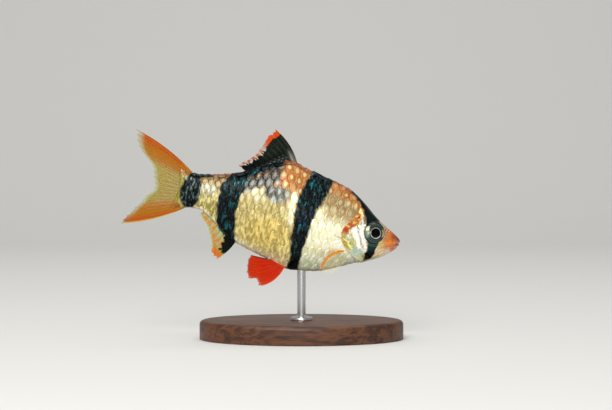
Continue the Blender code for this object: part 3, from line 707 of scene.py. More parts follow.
def scale_centres():
    """Rows of (back, row) places for the scales of one side."""
    centres = []
    for row in range(-HIGHEST_ROW, HIGHEST_ROW + 1):
        back = SCALE_FIRST + (float(SCALE_PITCH(SCALE_FIRST)) / 2 if row % 2 else 0)
        while back < SCALE_LAST:
            centres.append((back, row))
            back += float(SCALE_PITCH(back))
    backs, rows = np.array(centres).T
    distance = rows * ROW_HEIGHT(backs)
    angle, low, high = angle_along(backs, distance)
    inside = (distance > low - SCALES_OVER_EDGE) & (distance < high + SCALES_OVER_EDGE)
    share = np.degrees(np.clip(angle, -math.pi / 2, math.pi / 2))
    behind = backs > gill_edge(share) - SCALES_UNDER_COVER
    return backs[inside & behind], rows[inside & behind]


def scale_material():
    """Plates with a pale heart in a darker border, streaked by the fine ribs of the horn, and
    flecked with white painted glints.
    """
    plate = Finish("scales", 0.3, specular=0.35)
    border, heart, masks = plate.stored("paint"), plate.stored("heart"), plate.masks()
    size, streaky = border["Alpha"], heart["Alpha"]
    bar, painted_glints, calm = masks["Red"], masks["Green"], masks["Blue"]
    places = plate.node("SeparateXYZ")
    lie = plate.node("UVMap", uv_map="lie")
    plate.links.new(lie.outputs["UV"], places.inputs["Vector"])
    streaks = plate.grain(1500.0, 3.0, (0.8, 1, 2.6))
    fine = plate.grain(3600.0, 2.0, (0.8, 1, 2.2))

    def off_centre(axis, centre, radius):
        gap = plate.math("DIVIDE", plate.math("SUBTRACT", places.outputs[axis], centre), radius)
        return plate.math("POWER", plate.math("ABSOLUTE", gap), HEART_POWER)

    out = plate.math("ADD", off_centre("X", HEART_PLACE[0], HEART_RADII[0]),
                     off_centre("Y", HEART_PLACE[1], HEART_RADII[1]))
    out = plate.math("ADD", plate.math("DIVIDE", out, size), plate.graded(streaks, -0.5, 0.5))
    on_plate = plate.ranged(out, 1.5, 0.5, smooth=True)
    level = plate.math("ADD", plate.math("MULTIPLY_ADD", size, 0.18, -0.66), streaks)
    on_streak = plate.ranged(level, -0.06, 0.10, smooth=True)
    pale = plate.math("MULTIPLY_ADD", plate.math("SUBTRACT", on_streak, on_plate), streaky,
                      on_plate)
    colour = plate.mix(pale, border["Color"], heart["Color"])
    contrast = plate.math("MULTIPLY_ADD", calm, -0.65, 1.0)
    shade = plate.math("MULTIPLY_ADD", plate.math("ADD", streaks, -0.48), contrast, 0.97)
    # Painted glints: white sparks laid into the colour where the mask allows.
    painted_sparkle = plate.math("MULTIPLY", painted_glints, plate.ranged(fine, 0.55, 0.68, smooth=True))
    colour = plate.mix(painted_sparkle, plate.mix(1.0, colour, shade, "MULTIPLY"), WHITE)
    plate.drive("Base Color", colour)
    plate.drive("Metallic", plate.math("MULTIPLY_ADD", bar, 0.65, 0.25))
    plate.drive("Coat Weight", plate.math("MULTIPLY_ADD", bar, -0.22, 0.3))
    plate.drive("Roughness", plate.graded(fine, 0.34, 0.50))
    plate.bump(plate.math("MULTIPLY_ADD", fine, 0.5, streaks), 0.00008, 0.7)
    return plate.material


def scale_colours(back, up, tone):
    """Border and heart colours, the heart's size, how streaky a plate is, and the masks."""
    share = height_share(back, up)
    dark = bars(back, up, BAR_BLUR)
    border, heart = flank_paints(back, up)
    calm = (1 - ease(back, 20.0, 25.0)) * (1 - ease(share, 0.45, 0.62))
    border = border * (0.90 + 0.16 * tone * (1 - 0.7 * calm))[:, None]
    heart = heart * (0.86 + 0.18 * tone * (1 - 0.7 * calm))[:, None]
    other_tone = tone * 7 % 1
    heart = lay(heart, border, 0.65 * ease(other_tone, 0.45, 0.9) * ease(share, 0.6, 0.7))
    gleam = lay(np.tile(TEAL, (len(back), 1)), BLUE, ease(tone, 0.45, 0.1))
    gleam *= (0.4 + 0.9 * tone)[:, None]
    on_tail = spot(back, up, *TAIL_SPOT, softness=0.1)
    gleam = lay(gleam, srgb(0.36, 0.40, 0.38), 0.7 * on_tail * ease(tone, 0.3, 0.7))
    border, heart = lay(border, BLACK, dark), lay(heart, gleam, dark)
    size = (0.65 + 0.5 * tone) * (1 - dark) + (0.25 + 0.5 * tone) * dark
    streaky = np.maximum(dark, 1 - ease(share, 0.50, 0.68))
    # Painted glints: how much white sparkle a plate gets, most at mid height and faint in the bars.
    painted_glints = 0.4 * (1 - dark) * (0.3 + 0.7 * bell(share - 0.50, 0.22)) + 0.03 * dark
    painted_glints = painted_glints * ease(back, 52.0, 51.0)
    return (np.column_stack([border, size]), np.column_stack([heart, streaky]),
            np.stack([dark, painted_glints, calm], -1))


def make_scales(name, hand, material):
    backs, rows = scale_centres()
    random = np.random.default_rng(7 if hand == RIGHT else 8)
    builder = bmesh.new()
    lies = []
    for number in range(len(backs)):
        grid = bmesh.ops.create_grid(builder, x_segments=SCALE_CELLS, y_segments=SCALE_CELLS,
                                     size=1)
        lies += [(number, vertex.co.x, vertex.co.y) for vertex in grid["verts"]]
    number, x, y = np.array(lies).T
    number = number.astype(int)
    round_x, round_y = x * np.sqrt(1 - y * y / 2), y * np.sqrt(1 - x * x / 2)

    tilt = random.normal(0, SCALE_TILT, len(backs))
    roll = random.normal(0, SCALE_ROLL, len(backs))
    size = random.normal(1, SIZE_SPREAD, len(backs))
    tone = random.uniform(0, 1, len(backs))
    pitch, row_height = SCALE_PITCH(backs), ROW_HEIGHT(backs)
    centre = body_point(backs, angle_along(backs, rows * row_height)[0])
    tip = SCALE_TIP_LOW + (SCALE_TIP_HIGH - SCALE_TIP_LOW) * ease(
        height_share(centre[:, 0], centre[:, 2]), 0.45, 0.70)
    middle = backs + pitch * (SCALE_LENGTH / 2 - 1)
    back = middle[number] + round_x * (pitch * SCALE_LENGTH / 2 * size)[number]
    distance = rows[number] * ROW_HEIGHT(back) + round_y * (row_height * SCALE_HEIGHT / 2
                                                            * size)[number]
    angle, low, high = angle_along(back, distance)
    reach = (round_x + 1) / 2
    lift = (SCALE_ROOT + (tip - SCALE_ROOT + tilt)[number] * reach
            + roll[number] * round_y * reach + SCALE_DOME * (1 - round_y ** 2))
    over = np.maximum(distance - high, 0) + np.maximum(low - distance, 0)
    points = body_point(back, np.clip(angle, -math.pi / 2, math.pi / 2), lift - 0.5 * over)
    points[:, 1] -= over
    points[:, 1] *= hand
    set_points(builder, points)
    for face in builder.faces:
        outward = Vector((0, hand, 0))
        if face.normal.dot(outward) < 0:
            face.normal_flip()

    lie_map = builder.loops.layers.uv.new("lie")
    bake_map = builder.loops.layers.uv.new("OFBake")
    for face in builder.faces:
        for loop in face.loops:
            i = loop.vert.index
            j = number[i]
            lie = ((round_x[i] + 1) / 2, (round_y[i] + 1) / 2)
            loop[lie_map].uv = lie
            loop[bake_map].uv = (backs[j] / BAKE_LENGTH + BAKE_PATCH * (lie[0] - 0.5),
                                 0.5 + rows[j] / BAKE_ROWS + BAKE_PATCH * (lie[1] - 0.5))
    scales = make_piece(name, builder, material, "skin", "trunk")

    middle_back, middle_up = centre[number, 0], centre[number, 2]
    paints = scale_colours(middle_back + OWN_PLACE * (back - middle_back),
                           middle_up + OWN_PLACE * (points[:, 2] - middle_up), tone[number])
    for layer, values in zip(("paint", "heart", "masks"), paints):
        paint_attribute(scales, layer, values)

    solid = scales.modifiers.new("Thickness", "SOLIDIFY")
    solid.thickness = SCALE_THICKNESS * MM
    solid.offset = -1
    return scales


horn = scale_material()
for side, hand in (("right", RIGHT), ("left", LEFT)):
    make_scales("scales_" + side, hand, horn)


# Eyes
# A glossy ball without lids, set in a soft rim: a black pupil in a thin silver ring, and an
# iris that is pale before and behind the pupil and dark above and below it.

PUPIL_RADIUS, RING_RADIUS = 1.12, 1.31
PUPIL_SHIFT = (-0.22, 0.0)
EYE_REACH = 10.0
EYE_AROUND, EYE_ROWS = 96, 72


def eye_material():
    """A dark iris of fine fibres, a thin uneven silver ring, and a pupil that drinks the light."""
    eye = Finish("eye", 0.16, coat_roughness=0.02, specular=0.3)
    places = eye.masks("place")

    def offset(channel, shift):
        value = eye.math("MULTIPLY_ADD", places[channel], EYE_REACH, -EYE_REACH / 2 - shift)
        return eye.math("POWER", value, 2.0)

    radius = eye.math("SQRT", eye.math("ADD", offset("Red", PUPIL_SHIFT[0]),
                                       offset("Green", PUPIL_SHIFT[1])))
    fibres = eye.grain(4200.0, 3.0)
    uneven = eye.graded(eye.grain(900.0, 1.0), 0.25, 1.2)
    shadow = eye.ranged(radius, RING_RADIUS + 0.32, RING_RADIUS + 0.06, smooth=True)
    ring = eye.ranged(radius, RING_RADIUS + 0.05, RING_RADIUS - 0.03, smooth=True)
    pupil = eye.ranged(radius, PUPIL_RADIUS + 0.04, PUPIL_RADIUS - 0.02, smooth=True)
    colour = eye.mix(eye.math("MULTIPLY", shadow, 0.85), eye.mottled_paint(fibres, 0.6, 1.3),
                     srgb(0.03, 0.07, 0.07))
    silver = eye.mix(uneven, srgb(0.34, 0.38, 0.36), srgb(0.92, 0.94, 0.90))
    colour = eye.mix(pupil, eye.mix(ring, colour, silver), srgb(0.01, 0.01, 0.012))
    eye.drive("Base Color", colour)
    eye.drive("Metallic", eye.ranged(radius, RING_RADIUS, RING_RADIUS + 0.15, 0.85, 0.15))
    eye.drive("Coat Weight", eye.ranged(radius, PUPIL_RADIUS, RING_RADIUS + 0.2, 0.12, 0.5))
    eye.bump(fibres, 0.00002, 0.3)
    return eye.material


def iris_colours(x, y):
    """The iris: nearly black, with thin light arcs over and under, and paler crescents."""
    from_pupil = np.hypot(x - PUPIL_SHIFT[0], y - PUPIL_SHIFT[1])
    radius = np.maximum(np.hypot(x, y), 0.01)
    upward, backward = y / radius, x / radius
    iris = np.tile(srgb(0.04, 0.09, 0.09), (len(x), 1))
    for reach, strength in ((1.62, 0.15), (1.92, 0.4), (2.2, 0.5)):
        arc = bell(from_pupil - reach, 0.06) * ease(upward, 0.15, 0.7)
        iris = lay(iris, srgb(0.38, 0.56, 0.50), strength * arc)
    for reach, strength in ((1.75, 0.25), (2.15, 0.4)):
        arc = bell(from_pupil - reach, 0.07) * ease(-upward, 0.3, 0.8)
        iris = lay(iris, srgb(0.36, 0.52, 0.48), strength * arc)
    rear = spot(x, y, (1.78, 0.0), (0.50, 1.15), 0.5)
    iris = lay(iris, srgb(0.56, 0.58, 0.42), 0.9 * rear)
    iris = lay(iris, srgb(0.40, 0.52, 0.46), 0.7 * spot(x, y, (1.5, -0.9), (0.4, 0.6), 0.5))
    front = bell(from_pupil - 1.95, 0.22) * ease(-backward, 0.75, 0.97) * ease(y, -0.8, -0.2)
    iris = lay(iris, srgb(0.80, 0.74, 0.50), 0.9 * front)
    iris = lay(iris, srgb(0.30, 0.12, 0.10), 0.5 * spot(x, y, (0.5, 1.5), (0.9, 0.25), 0.5))
    edge = np.hypot(x, y) / ORBIT
    return lay(iris, srgb(0.03, 0.05, 0.05), ease(edge, 0.90, 0.98))


def make_eye(name, hand, material, node):
    centre, axes = eye_place()
    ball = bmesh.new()
    bmesh.ops.create_uvsphere(ball, u_segments=EYE_AROUND, v_segments=EYE_ROWS, radius=1)
    shape = np.array([vertex.co for vertex in ball.verts])
    x, y = shape[:, 0] * EYE_RADII[0], shape[:, 1] * EYE_RADII[1]
    points = centre + np.stack([x, y, shape[:, 2] * EYE_DEPTH], -1) @ axes
    points[:, 1] *= hand
    set_points(ball, points)
    eye = make_piece(name, ball, material, "eye", node)
    paint_attribute(eye, "paint", iris_colours(x, y))
    paint_attribute(eye, "place", np.stack([x / EYE_REACH + 0.5, y / EYE_REACH + 0.5,
                                            shape[:, 2] / 2 + 0.5], -1))


glossy_eye = eye_material()
for side, hand in (("right", RIGHT), ("left", LEFT)):
    make_eye("eyeball_" + side, hand, glossy_eye, "eye_" + side)


# Fins
# Thin films stretched over bony rays. Each ray thins, splits in two and splits again towards
# the free edge, and its raised line shows on both faces of the film.

FILM, FILM_TIP = 0.05, 0.025
RAY_RELIEF, RAY_TAPER, RAY_SPREAD = 0.09, 0.65, 0.018
INTERVAL_COLUMNS = 10


def fin_material(name, roughness=0.5):
    """A wet film whose stored colour and cover let light through between the rays."""
    film = Finish(name, roughness, coat_roughness=0.15, specular=0.06)
    masks = film.masks()
    cover, dark = masks["Red"], masks["Green"]
    grain = film.grain(3500.0, 3.0)
    film.drive("Base Color", film.mottled_paint(grain, 0.78, 1.16))
    film.drive("Alpha", cover)
    film.drive("Metallic", film.math("MULTIPLY", dark, 0.9))
    film.drive("Coat Weight", film.math("MULTIPLY_ADD", dark, -0.04, 0.05))
    film.bump(grain, 0.00003, 0.4)
    return film.material


def outline(points):
    """Points of a fin's free edge as one smooth function of u, spaced as given."""
    backs = smooth_curve([(u, back) for u, back, _ in points])
    ups = smooth_curve([(u, up) for u, _, up in points])
    return lambda u: np.stack([backs(u), np.zeros_like(u), ups(u)], -1)


def line_beside(line, back, gap):
    """Points off the back or belly line, gap away along the line's own normal."""
    slope = (line(back + 0.1) - line(back - 0.1)) / 0.2
    size = np.hypot(1, slope)
    return np.stack([back - gap * slope / size, np.zeros_like(back), line(back) + gap / size], -1)


def ray_mask(place, v, whole):
    """How near a point lies to a ray or branch. place counts rays; the first ones don't split."""
    nearest = np.rint(place)
    offset = np.abs(place - nearest)
    splits = np.where(nearest < whole, 0.0, 1.0)
    first, second = 0.25 * ease(v, 0.3, 0.85) * splits, 0.125 * ease(v, 0.6, 1.0) * splits
    gap = np.abs(np.abs(offset - first) - second)
    return bell(gap, 0.15 - 0.085 * ease(v, 0.0, 1.0) * splits)


def make_fin(name, rays, rows, root, tip, bow, thickness, paint, material, slot, node,
             whole=1, ragged=0.06, seed=1, sway=0.0):
    """A film over rays from root(u) to tip(u); paint(u, v, ray, place) gives colour and cover."""
    columns = (rays - 1) * INTERVAL_COLUMNS
    sheet = bmesh.new()
    bmesh.ops.create_grid(sheet, x_segments=columns, y_segments=rows, size=1)
    bmesh.ops.triangulate(sheet, faces=sheet.faces, quad_method="FIXED")
    film = len(sheet.verts)
    bmesh.ops.extrude_face_region(sheet, geom=sheet.faces[:], use_keep_orig=True)
    grid = np.array([vertex.co for vertex in sheet.verts])
    face = np.where(np.arange(len(grid)) < film, -1.0, 1.0)
    u, v = (grid[:, 0] + 1) / 2, (grid[:, 1] + 1) / 2
    random = np.random.default_rng(seed)
    lengths = random.normal(0, RAY_SPREAD, rays)
    place = u * (rays - 1)
    ray = ray_mask(place, v, whole)
    tips = ray_mask(place, np.ones_like(v), whole)
    between = np.abs(np.sin(math.pi * place))
    notch = ragged * ease(v, 0.7, 1.0) * (0.6 * (1 - tips) + 0.4 * between)
    reach = v * (1 + np.interp(place, np.arange(rays), lengths) - notch)
    start, end = root(u), tip(u)
    points = start + (end - start) * reach[:, None]
    across = np.stack([start[:, 2] - end[:, 2], np.zeros_like(u), end[:, 0] - start[:, 0]], -1)
    across /= np.linalg.norm(across, axis=1)[:, None]
    points += across * (bow(u) * 4 * reach * (1 - reach))[:, None]
    half = thickness(u, v) + FILM + (FILM_TIP - FILM) * v
    half += RAY_RELIEF * ray * (1 - RAY_TAPER * v)
    points[:, 1] += face * half + sway * np.sin(2.2 * math.pi * u + 0.6) * v ** 1.5
    set_points(sheet, points)
    fin = make_piece(name, sheet, material, slot, node)
    colours, cover = paint(u, v, ray, place)
    paint_attribute(fin, "paint", colours)
    one_face = 1 - np.sqrt(1 - np.clip(cover, 0, 0.999))
    dark = ease(colours.max(1), 0.10, 0.02)
    paint_attribute(fin, "masks", np.stack([one_face, dark, v], -1))
    return fin


def flat(u, colour):
    return np.tile(srgb(*colour), (len(u), 1))


def dorsal_paint(u, v, ray, place):
    colours = flat(u, (0.025, 0.03, 0.03))
    streak = (1 - ray) * ease(v, 0.28, 0.55) * ease(v, 0.88, 0.78) * ease(u, 0.8, 0.4)
    colours = lay(colours, srgb(0.13, 0.17, 0.12), 0.7 * streak)
    frost = bell(u - 0.07, 0.07) * (1 - ease(v, 0.15, 0.50)) * (0.3 + 0.7 * ray)
    colours = lay(colours, srgb(0.70, 0.73, 0.66), 0.8 * frost)
    row = v / 0.085
    column = place * 1.15 + 0.5 * (np.floor(row) % 2)
    dot = bell(np.hypot(row % 1 - 0.5, column % 1 - 0.5), 0.26) * (1 - ease(v, 0.2, 0.4))
    colours = lay(colours, srgb(0.36, 0.42, 0.38), 0.7 * dot * ease(u, 0.12, 0.3))
    rear = ease(u, 0.25, 0.6)
    uneven = 0.5 + 0.5 * np.sin(place * 9.1 + 2 * np.sin(place * 3.7))
    clear = ease(v, 0.88 - 0.22 * rear * uneven, 0.92 - 0.20 * rear * uneven)
    dab = bell(place - np.rint(place), 0.36) * ease(v, 0.80, 0.86)
    orange = np.maximum(ease(v, 0.84, 0.87) * (1 - rear), dab * rear)
    colours = lay(colours, srgb(0.30, 0.13, 0.07), 0.8 * ease(u, 0.035, 0.0))
    colours = lay(colours, srgb(0.50, 0.54, 0.26), clear)
    colours = lay(colours, srgb(0.76, 0.26, 0.0), orange)
    return colours, 0.995 - 0.93 * clear * (1 - orange)


def anal_paint(u, v, ray, place):
    colours = flat(u, (0.62, 0.66, 0.28))
    dash = bell(v - 0.62 - 0.12 * np.sin(place * 2.1), 0.20) * (0.25 + 0.75 * ray)
    colours = lay(colours, srgb(0.84, 0.44, 0.08),
                  np.clip(1.3 * dash, 0, 1) * ease(u, 0.12, 0.3))
    lobe = ease(v, 0.66, 0.80) * (1 - ease(u, 0.22, 0.42))
    colours = lay(colours, srgb(0.80, 0.42, 0.08), lobe)
    edge = ease(v, 0.88, 0.99) * ease(u, 0.2, 0.4) * (1 - 0.5 * ray)
    colours = lay(colours, srgb(0.82, 0.88, 0.62), 0.7 * edge)
    teeth = 0.035 * np.sin(30 * v) * ease(v, 0.1, 0.3)
    wedge = ease(0.39 - 0.30 * v + teeth - u, -0.02, 0.03) * ease(v + 0.08 * ray, 0.78, 0.66)
    fringe = ease(v - 0.16 * ray, 0.20, 0.04) * ease(u, 0.75, 0.55)
    black = np.maximum(wedge, fringe)
    colours = lay(colours, srgb(0.025, 0.035, 0.035), black)
    cover = np.clip(0.62 + 0.3 * ray + 0.6 * black + 0.35 * np.maximum(dash, lobe), 0, 0.99)
    return colours, cover * (1 - 0.45 * edge)


def caudal_paint(u, v, ray, place):
    lobe = np.abs(2 * u - 1)
    colours = flat(u, (0.58, 0.56, 0.12))
    colours = lay(colours, srgb(0.64, 0.40, 0.01), ease(lobe, 0.34, 0.66))
    outer = ease(lobe, 0.72, 0.95) * ease(v, 0.06, 0.3)
    colours = lay(colours, srgb(0.68, 0.24, 0.0), np.clip(outer * (0.45 + 0.6 * ray), 0, 1))
    fine = ray * ease(v, 0.12, 0.3) * (1 - ease(lobe, 0.5, 0.8)) * (1 - 0.6 * ease(v, 0.6, 0.9))
    colours = lay(colours, srgb(0.72, 0.36, 0.04), 0.75 * fine)
    base = 1 - ease(v, 0.06, 0.24)
    colours = lay(colours, srgb(0.64, 0.59, 0.22),
                  0.85 * base * (1 - 0.8 * ease(lobe, 0.55, 0.85)))
    edge = ease(v, 0.86, 1.0) * (1 - 0.5 * ray) * (1 - 0.8 * ease(lobe, 0.6, 0.9) * (u > 0.5))
    colours = lay(colours, srgb(0.66, 0.70, 0.40), 0.8 * edge)
    colours = lay(colours, srgb(0.80, 0.74, 0.36), 0.7 * ease(u, 0.975, 0.995) * ease(v, 0.1, 0.3))
    cover = 0.78 + 0.20 * ease(lobe, 0.35, 0.8) + 0.20 * ray
    cover = np.clip(cover + 0.5 * base, 0, 0.99)
    return colours, cover * (1 - 0.6 * edge)


def pelvic_paint(u, v, ray, place):
    colours = flat(u, (0.74, 0.14, 0.0))
    colours = lay(colours, srgb(0.64, 0.12, 0.0), 0.7 * ray * ease(v, 0.15, 0.5))
    colours = lay(colours, srgb(0.76, 0.22, 0.0), 0.7 * (1 - ray) * ease(v, 0.5, 0.9))
    colours = lay(colours, srgb(0.76, 0.30, 0.04), 1 - ease(v, 0.0, 0.12))
    colours = lay(colours, srgb(0.90, 0.42, 0.12), 0.8 * ease(u, 0.06, 0.0))
    return colours, 0.985 - 0.3 * ease(v, 0.86, 1.0) * (1 - ray)


def pectoral_paint(u, v, ray, place):
    colours = flat(u, (0.90, 0.88, 0.66))
    colours = lay(colours, srgb(0.84, 0.68, 0.36), 0.6 * ray)
    front = 1 - ease(u, 0.12, 0.26)
    colours = lay(colours, srgb(0.92, 0.58, 0.10), front)
    cover = 0.14 + 0.24 * ray * (1 - 0.4 * v) + 0.85 * front * (1 - 0.3 * v)
    return colours, np.clip(cover, 0, 0.98)


def swell(amount, reach):
    """Extra half thickness at a fin's root, gone by reach."""
    return lambda u, v: amount * (1 - ease(v, 0, reach))


make_fin("dorsal_film", rays=11, rows=46,
         root=lambda u: line_beside(back_line, 26.9 + 11.5 * u, -0.9),
         tip=outline([(0, 34.3, 18.6), (0.05, 34.9, 18.5), (0.14, 35.5, 17.6),
                      (0.3, 36.3, 15.7), (0.45, 36.9, 13.8), (0.6, 37.7, 12.1),
                      (0.8, 39.2, 10.2), (1, 40.9, 8.4)]),
         bow=lambda u: 0.95 * (1 - u) ** 2, thickness=swell(0.45, 0.3), paint=dorsal_paint,
         material=fin_material("dorsal_film"), slot="dark_fin", node="dorsal_fin",
         whole=2, ragged=0.05, seed=3, sway=0.2)

make_fin("anal_film", rays=9, rows=36,
         root=lambda u: line_beside(belly_line, 37.4 + 8.8 * u, 0.9),
         tip=outline([(0, 40.9, -14.3), (0.15, 41.9, -13.5), (0.35, 42.8, -11.6),
                      (0.55, 43.7, -9.4), (0.75, 44.9, -7.2), (1, 47.2, -4.9)]),
         bow=lambda u: -0.5 * (1 - u), thickness=swell(0.4, 0.3), paint=anal_paint,
         material=fin_material("anal_film"), slot="dark_fin", node="anal_fin",
         whole=2, ragged=0.07, seed=4, sway=0.15)

make_fin("caudal_film", rays=21, rows=48,
         root=lambda u: np.stack([np.full_like(u, 50.4), np.zeros_like(u), 3.85 - 7.75 * u], -1),
         tip=outline([(0, 66.7, 11.1), (0.06, 66.3, 9.7), (0.14, 65.0, 7.6), (0.24, 62.9, 5.5),
                      (0.34, 61.0, 3.8), (0.44, 59.6, 1.4), (0.5, 59.2, -0.2), (0.57, 59.3, -1.9),
                      (0.66, 60.4, -3.8), (0.76, 61.9, -6.0), (0.86, 63.4, -8.4),
                      (0.94, 64.6, -10.3), (1, 65.1, -11.5)]),
         bow=lambda u: 0.9 * (1 - 2 * u) * np.abs(1 - 2 * u),
         thickness=lambda u, v: (swell(0.6, 0.3)(u, v)
                                 * np.sqrt(np.maximum(0, 1 - (2 * u - 1) ** 2))),
         paint=caudal_paint, material=fin_material("caudal_film"), slot="orange_fin",
         node="caudal_fin", whole=1, ragged=0.05, seed=5, sway=0.25)


UNDER_SKIN = 0.35


def paired_ends(hand, roots, tips, spread):
    """Root and tip functions of a fin on the body's side, rooted a little under the skin."""
    def root(u):
        back = roots[0][0] + (roots[1][0] - roots[0][0]) * u
        angle = np.radians(roots[0][1] + (roots[1][1] - roots[0][1]) * u)
        point = body_point(back, angle, -UNDER_SKIN)
        return point * np.array([1, hand, 1])

    def tip(u):
        point = tips(u)
        point[:, 1] = root(u)[:, 1] + hand * spread(u)
        return point

    return {"root": root, "tip": tip}


pelvic_tips = outline([(0, 29.0, -17.5), (0.15, 29.9, -17.4), (0.28, 30.7, -16.8),
                       (0.36, 31.1, -16.2), (0.46, 32.2, -16.6), (0.6, 33.0, -15.5),
                       (0.8, 33.5, -13.3), (1, 33.3, -11.5)])
pectoral_tips = outline([(0, 16.8, -10.0), (0.25, 16.1, -10.8), (0.5, 14.9, -10.9),
                         (0.75, 13.6, -10.4), (1, 12.5, -9.4)])
red_film, clear_film = fin_material("pelvic_film"), fin_material("pectoral_film", 0.2)
for side, hand in (("right", RIGHT), ("left", LEFT)):
    make_fin("pelvic_film_" + side, rays=9, rows=36,
             **paired_ends(hand, ((24.7, -73), (26.9, -74)), pelvic_tips, lambda u: 3.6 - 2.7 * u),
             bow=lambda u: -0.9 * (1 - u), thickness=swell(0.15, 0.4), paint=pelvic_paint,
             material=red_film, slot="red_fin", node="pelvic_fin_" + side, ragged=0.07, seed=6)
    make_fin("pectoral_film_" + side, rays=12, rows=36,
             **paired_ends(hand, ((12.0, -32), (11.1, -48)), pectoral_tips, lambda u: 4.6 - u),
             bow=lambda u: 1.4 * (1 - u), thickness=swell(0.15, 0.4), paint=pectoral_paint,
             material=clear_film, slot="clear_fin", node="pectoral_fin_" + side,
             ragged=0.04, seed=9)


# Stand base
# An oval block of dark stained hardwood, turned flat underneath, with a rounded upper edge and
# a satin oil finish. A hole in its middle takes the rod.

BASE_LENGTH, BASE_WIDTH, BASE_HEIGHT = 48.0, 32.0, 4.5
UPPER_ROUND, LOWER_ROUND = 1.0, 0.25


def wood_material():
    wood = Finish("stained_hardwood", 0.45, coat=0.08, coat_roughness=0.3, specular=0.35)
    rings = wood.grain(160.0, 4.0, (2.0, 0.33, 0.33), turn=0)
    pores = wood.grain(900.0, 3.0, (8.0, 0.33, 0.33), turn=0)
    band = wood.ranged(wood.math("SINE", wood.math("MULTIPLY", rings, 18.0)), -1.0, 1.0)
    colour = wood.mix(band, srgb(0.24, 0.14, 0.09), srgb(0.38, 0.23, 0.14))
    dark = wood.math("MULTIPLY", wood.ranged(pores, 0.52, 0.66, smooth=True), 0.6)
    wood.drive("Base Color", wood.mix(dark, colour, srgb(0.12, 0.07, 0.05)))
    wood.drive("Roughness", wood.graded(pores, 0.40, 0.56))
    wood.bump(pores, -0.00008, 0.5)
    return wood.material


def make_base():
    block = bmesh.new()
    bmesh.ops.create_cone(block, cap_ends=True, segments=128, radius1=BASE_WIDTH / 2 * MM,
                          radius2=BASE_WIDTH / 2 * MM, depth=BASE_HEIGHT * MM)
    bmesh.ops.scale(block, verts=block.verts, vec=(BASE_LENGTH / BASE_WIDTH, 1, 1))
    bmesh.ops.translate(block, verts=block.verts, vec=(0, 0, BASE_HEIGHT / 2 * MM))
    upper = [e for e in block.edges if all(v.co.z > BASE_HEIGHT / 2 * MM for v in e.verts)]
    bmesh.ops.bevel(block, geom=upper, offset=UPPER_ROUND * MM, offset_type="OFFSET",
                    segments=8, profile=0.5, affect="EDGES", material=-1)
    lower = [e for e in block.edges if all(v.co.z < 0.1 * MM for v in e.verts)]
    bmesh.ops.bevel(block, geom=lower, offset=LOWER_ROUND * MM, offset_type="OFFSET",
                    segments=3, profile=0.5, affect="EDGES", material=-1)
    base = make_piece("base_block", block, wood_material(), "stand_wood", "stand_base")
    base.data.set_sharp_from_angle(angle=math.radians(40))


make_base()


# Stand rod
# A thin rod of brushed steel with a small turned collar, pressed into the base and sunk a
# little way into the belly under the fish's centre of weight.

ROD_RADIUS, COLLAR_RADIUS, COLLAR_HEIGHT = 1.0, 2.6, 1.1


def steel_material():
    steel = Finish("brushed_steel", 0.28, metallic=1.0)
    brush = steel.grain(3000.0, 2.0, (1.0, 1.0, 0.07), turn=0)
    colour = steel.mix(brush, srgb(0.68, 0.68, 0.69), srgb(0.80, 0.80, 0.80))
    steel.drive("Base Color", colour)
    steel.drive("Roughness", steel.graded(brush, 0.22, 0.36))
    steel.bump(brush, 0.00002, 0.4)
    return steel.material


def make_rod():
    low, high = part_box("stand_rod")
    foot, top = BASE_HEIGHT, high[2] / MM
    profile = [(0, low[2] / MM), (ROD_RADIUS, low[2] / MM), (ROD_RADIUS, foot),
               (COLLAR_RADIUS - 0.1, foot), (COLLAR_RADIUS, foot + 0.1),
               (COLLAR_RADIUS, foot + 0.5), (COLLAR_RADIUS - 0.12, foot + 0.68),
               (ROD_RADIUS + 0.6, foot + 0.82), (ROD_RADIUS + 0.15, foot + COLLAR_HEIGHT),
               (ROD_RADIUS, foot + COLLAR_HEIGHT + 0.15), (ROD_RADIUS, top - 0.2),
               (ROD_RADIUS - 0.2, top), (0, top)]
    rod = bmesh.new()
    points = [rod.verts.new((radius * MM, 0, height * MM)) for radius, height in profile]
    edges = [rod.edges.new(pair) for pair in zip(points, points[1:])]
    bmesh.ops.spin(rod, geom=points + edges, cent=(0, 0, 0), axis=(0, 0, 1), steps=48,
                   angle=math.tau, use_merge=True)
    bmesh.ops.remove_doubles(rod, verts=rod.verts, dist=0.001 * MM)
    rod.normal_update()
    bmesh.ops.recalc_face_normals(rod, faces=rod.faces)
    piece = make_piece("rod", rod, steel_material(), "stand_steel", "stand_rod")
    piece.data.set_sharp_from_angle(angle=math.radians(35))


make_rod()


# Floor, light and camera
# A plain pale floor that sweeps up behind, soft studio lights, and a camera at the fish's side
# at the photo's angle, with the photo's 612 by 410 frame.

FRAME_WIDTH = 0.1438
CAMERA_DISTANCE = 0.5
CAMERA_RISE = math.radians(2.5)
AIM = Vector((0.00107, 0.0, 0.03158))
FLOOR_WIDTH, FLOOR_DEPTH, FLOOR_BEND = 3.0, 0.35, 0.25


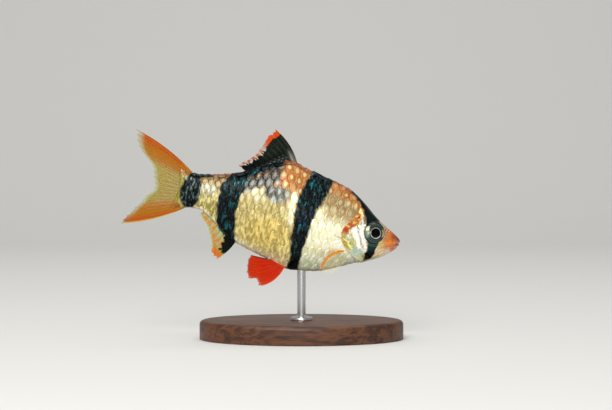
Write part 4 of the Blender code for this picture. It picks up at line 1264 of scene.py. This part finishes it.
def make_floor():
    sweep = bmesh.new()
    profile = [(-0.8, 0.0), (FLOOR_DEPTH, 0.0)]
    turns = [math.radians(a) for a in range(10, 91, 10)]
    profile += [(FLOOR_DEPTH + FLOOR_BEND * math.sin(a), FLOOR_BEND * (1 - math.cos(a)))
                for a in turns]
    profile += [(FLOOR_DEPTH + FLOOR_BEND, 1.4)]
    points = [sweep.verts.new((-FLOOR_WIDTH / 2, y, z)) for y, z in profile]
    edges = [sweep.edges.new(pair) for pair in zip(points, points[1:])]
    wall = bmesh.ops.extrude_edge_only(sweep, edges=edges)
    moved = [item for item in wall["geom"] if isinstance(item, bmesh.types.BMVert)]
    bmesh.ops.translate(sweep, verts=moved, vec=(FLOOR_WIDTH, 0, 0))
    sweep.normal_update()
    for face in sweep.faces:
        if face.normal.dot(Vector((0, -1, 1))) < 0:
            face.normal_flip()
    mesh = bpy.data.meshes.new("floor")
    sweep.to_mesh(mesh)
    sweep.free()
    mesh.shade_smooth()
    pale = Finish("pale_floor", 0.8, specular=0.2)
    pale.sockets["Base Color"].default_value = (*srgb(0.80, 0.80, 0.79), 1.0)
    mesh.materials.append(pale.material)
    floor = bpy.data.objects.new("floor", mesh)
    bpy.context.scene.collection.objects.link(floor)


def area_light(name, place, size, power, colour=(1, 1, 1)):
    lamp = bpy.data.lights.new(name, "AREA")
    lamp.size = size
    lamp.energy = power
    lamp.color = colour
    light = bpy.data.objects.new(name, lamp)
    light.location = place
    light.rotation_euler = (AIM - Vector(place)).to_track_quat("-Z", "Y").to_euler()
    bpy.context.scene.collection.objects.link(light)


def make_camera():
    lens = bpy.data.cameras.new("camera")
    lens.sensor_width = 36.0
    lens.lens = lens.sensor_width * CAMERA_DISTANCE / FRAME_WIDTH
    lens.clip_start = 0.01
    camera = bpy.data.objects.new("camera", lens)
    offset = Vector((0, -math.cos(CAMERA_RISE), math.sin(CAMERA_RISE))) * CAMERA_DISTANCE
    camera.location = AIM + offset
    camera.rotation_euler = (AIM - camera.location).to_track_quat("-Z", "Y").to_euler()
    bpy.context.scene.collection.objects.link(camera)
    bpy.context.scene.camera = camera


make_floor()
area_light("key", (-0.10, -0.46, 0.36), 0.30, 2.7, (1.0, 0.98, 0.95))
area_light("front", (0.02, -0.55, 0.10), 0.16, 0.4)
area_light("top", (0.0, 0.05, 0.60), 0.60, 2.4)
world = bpy.data.worlds.new("studio")
world.use_nodes = True
daylight = world.node_tree.nodes["Background"].inputs
daylight["Color"].default_value = (1.0, 0.99, 0.97, 1.0)
daylight["Strength"].default_value = 0.36
bpy.context.scene.world = world
bpy.context.scene.view_settings.view_transform = "Standard"
make_camera()
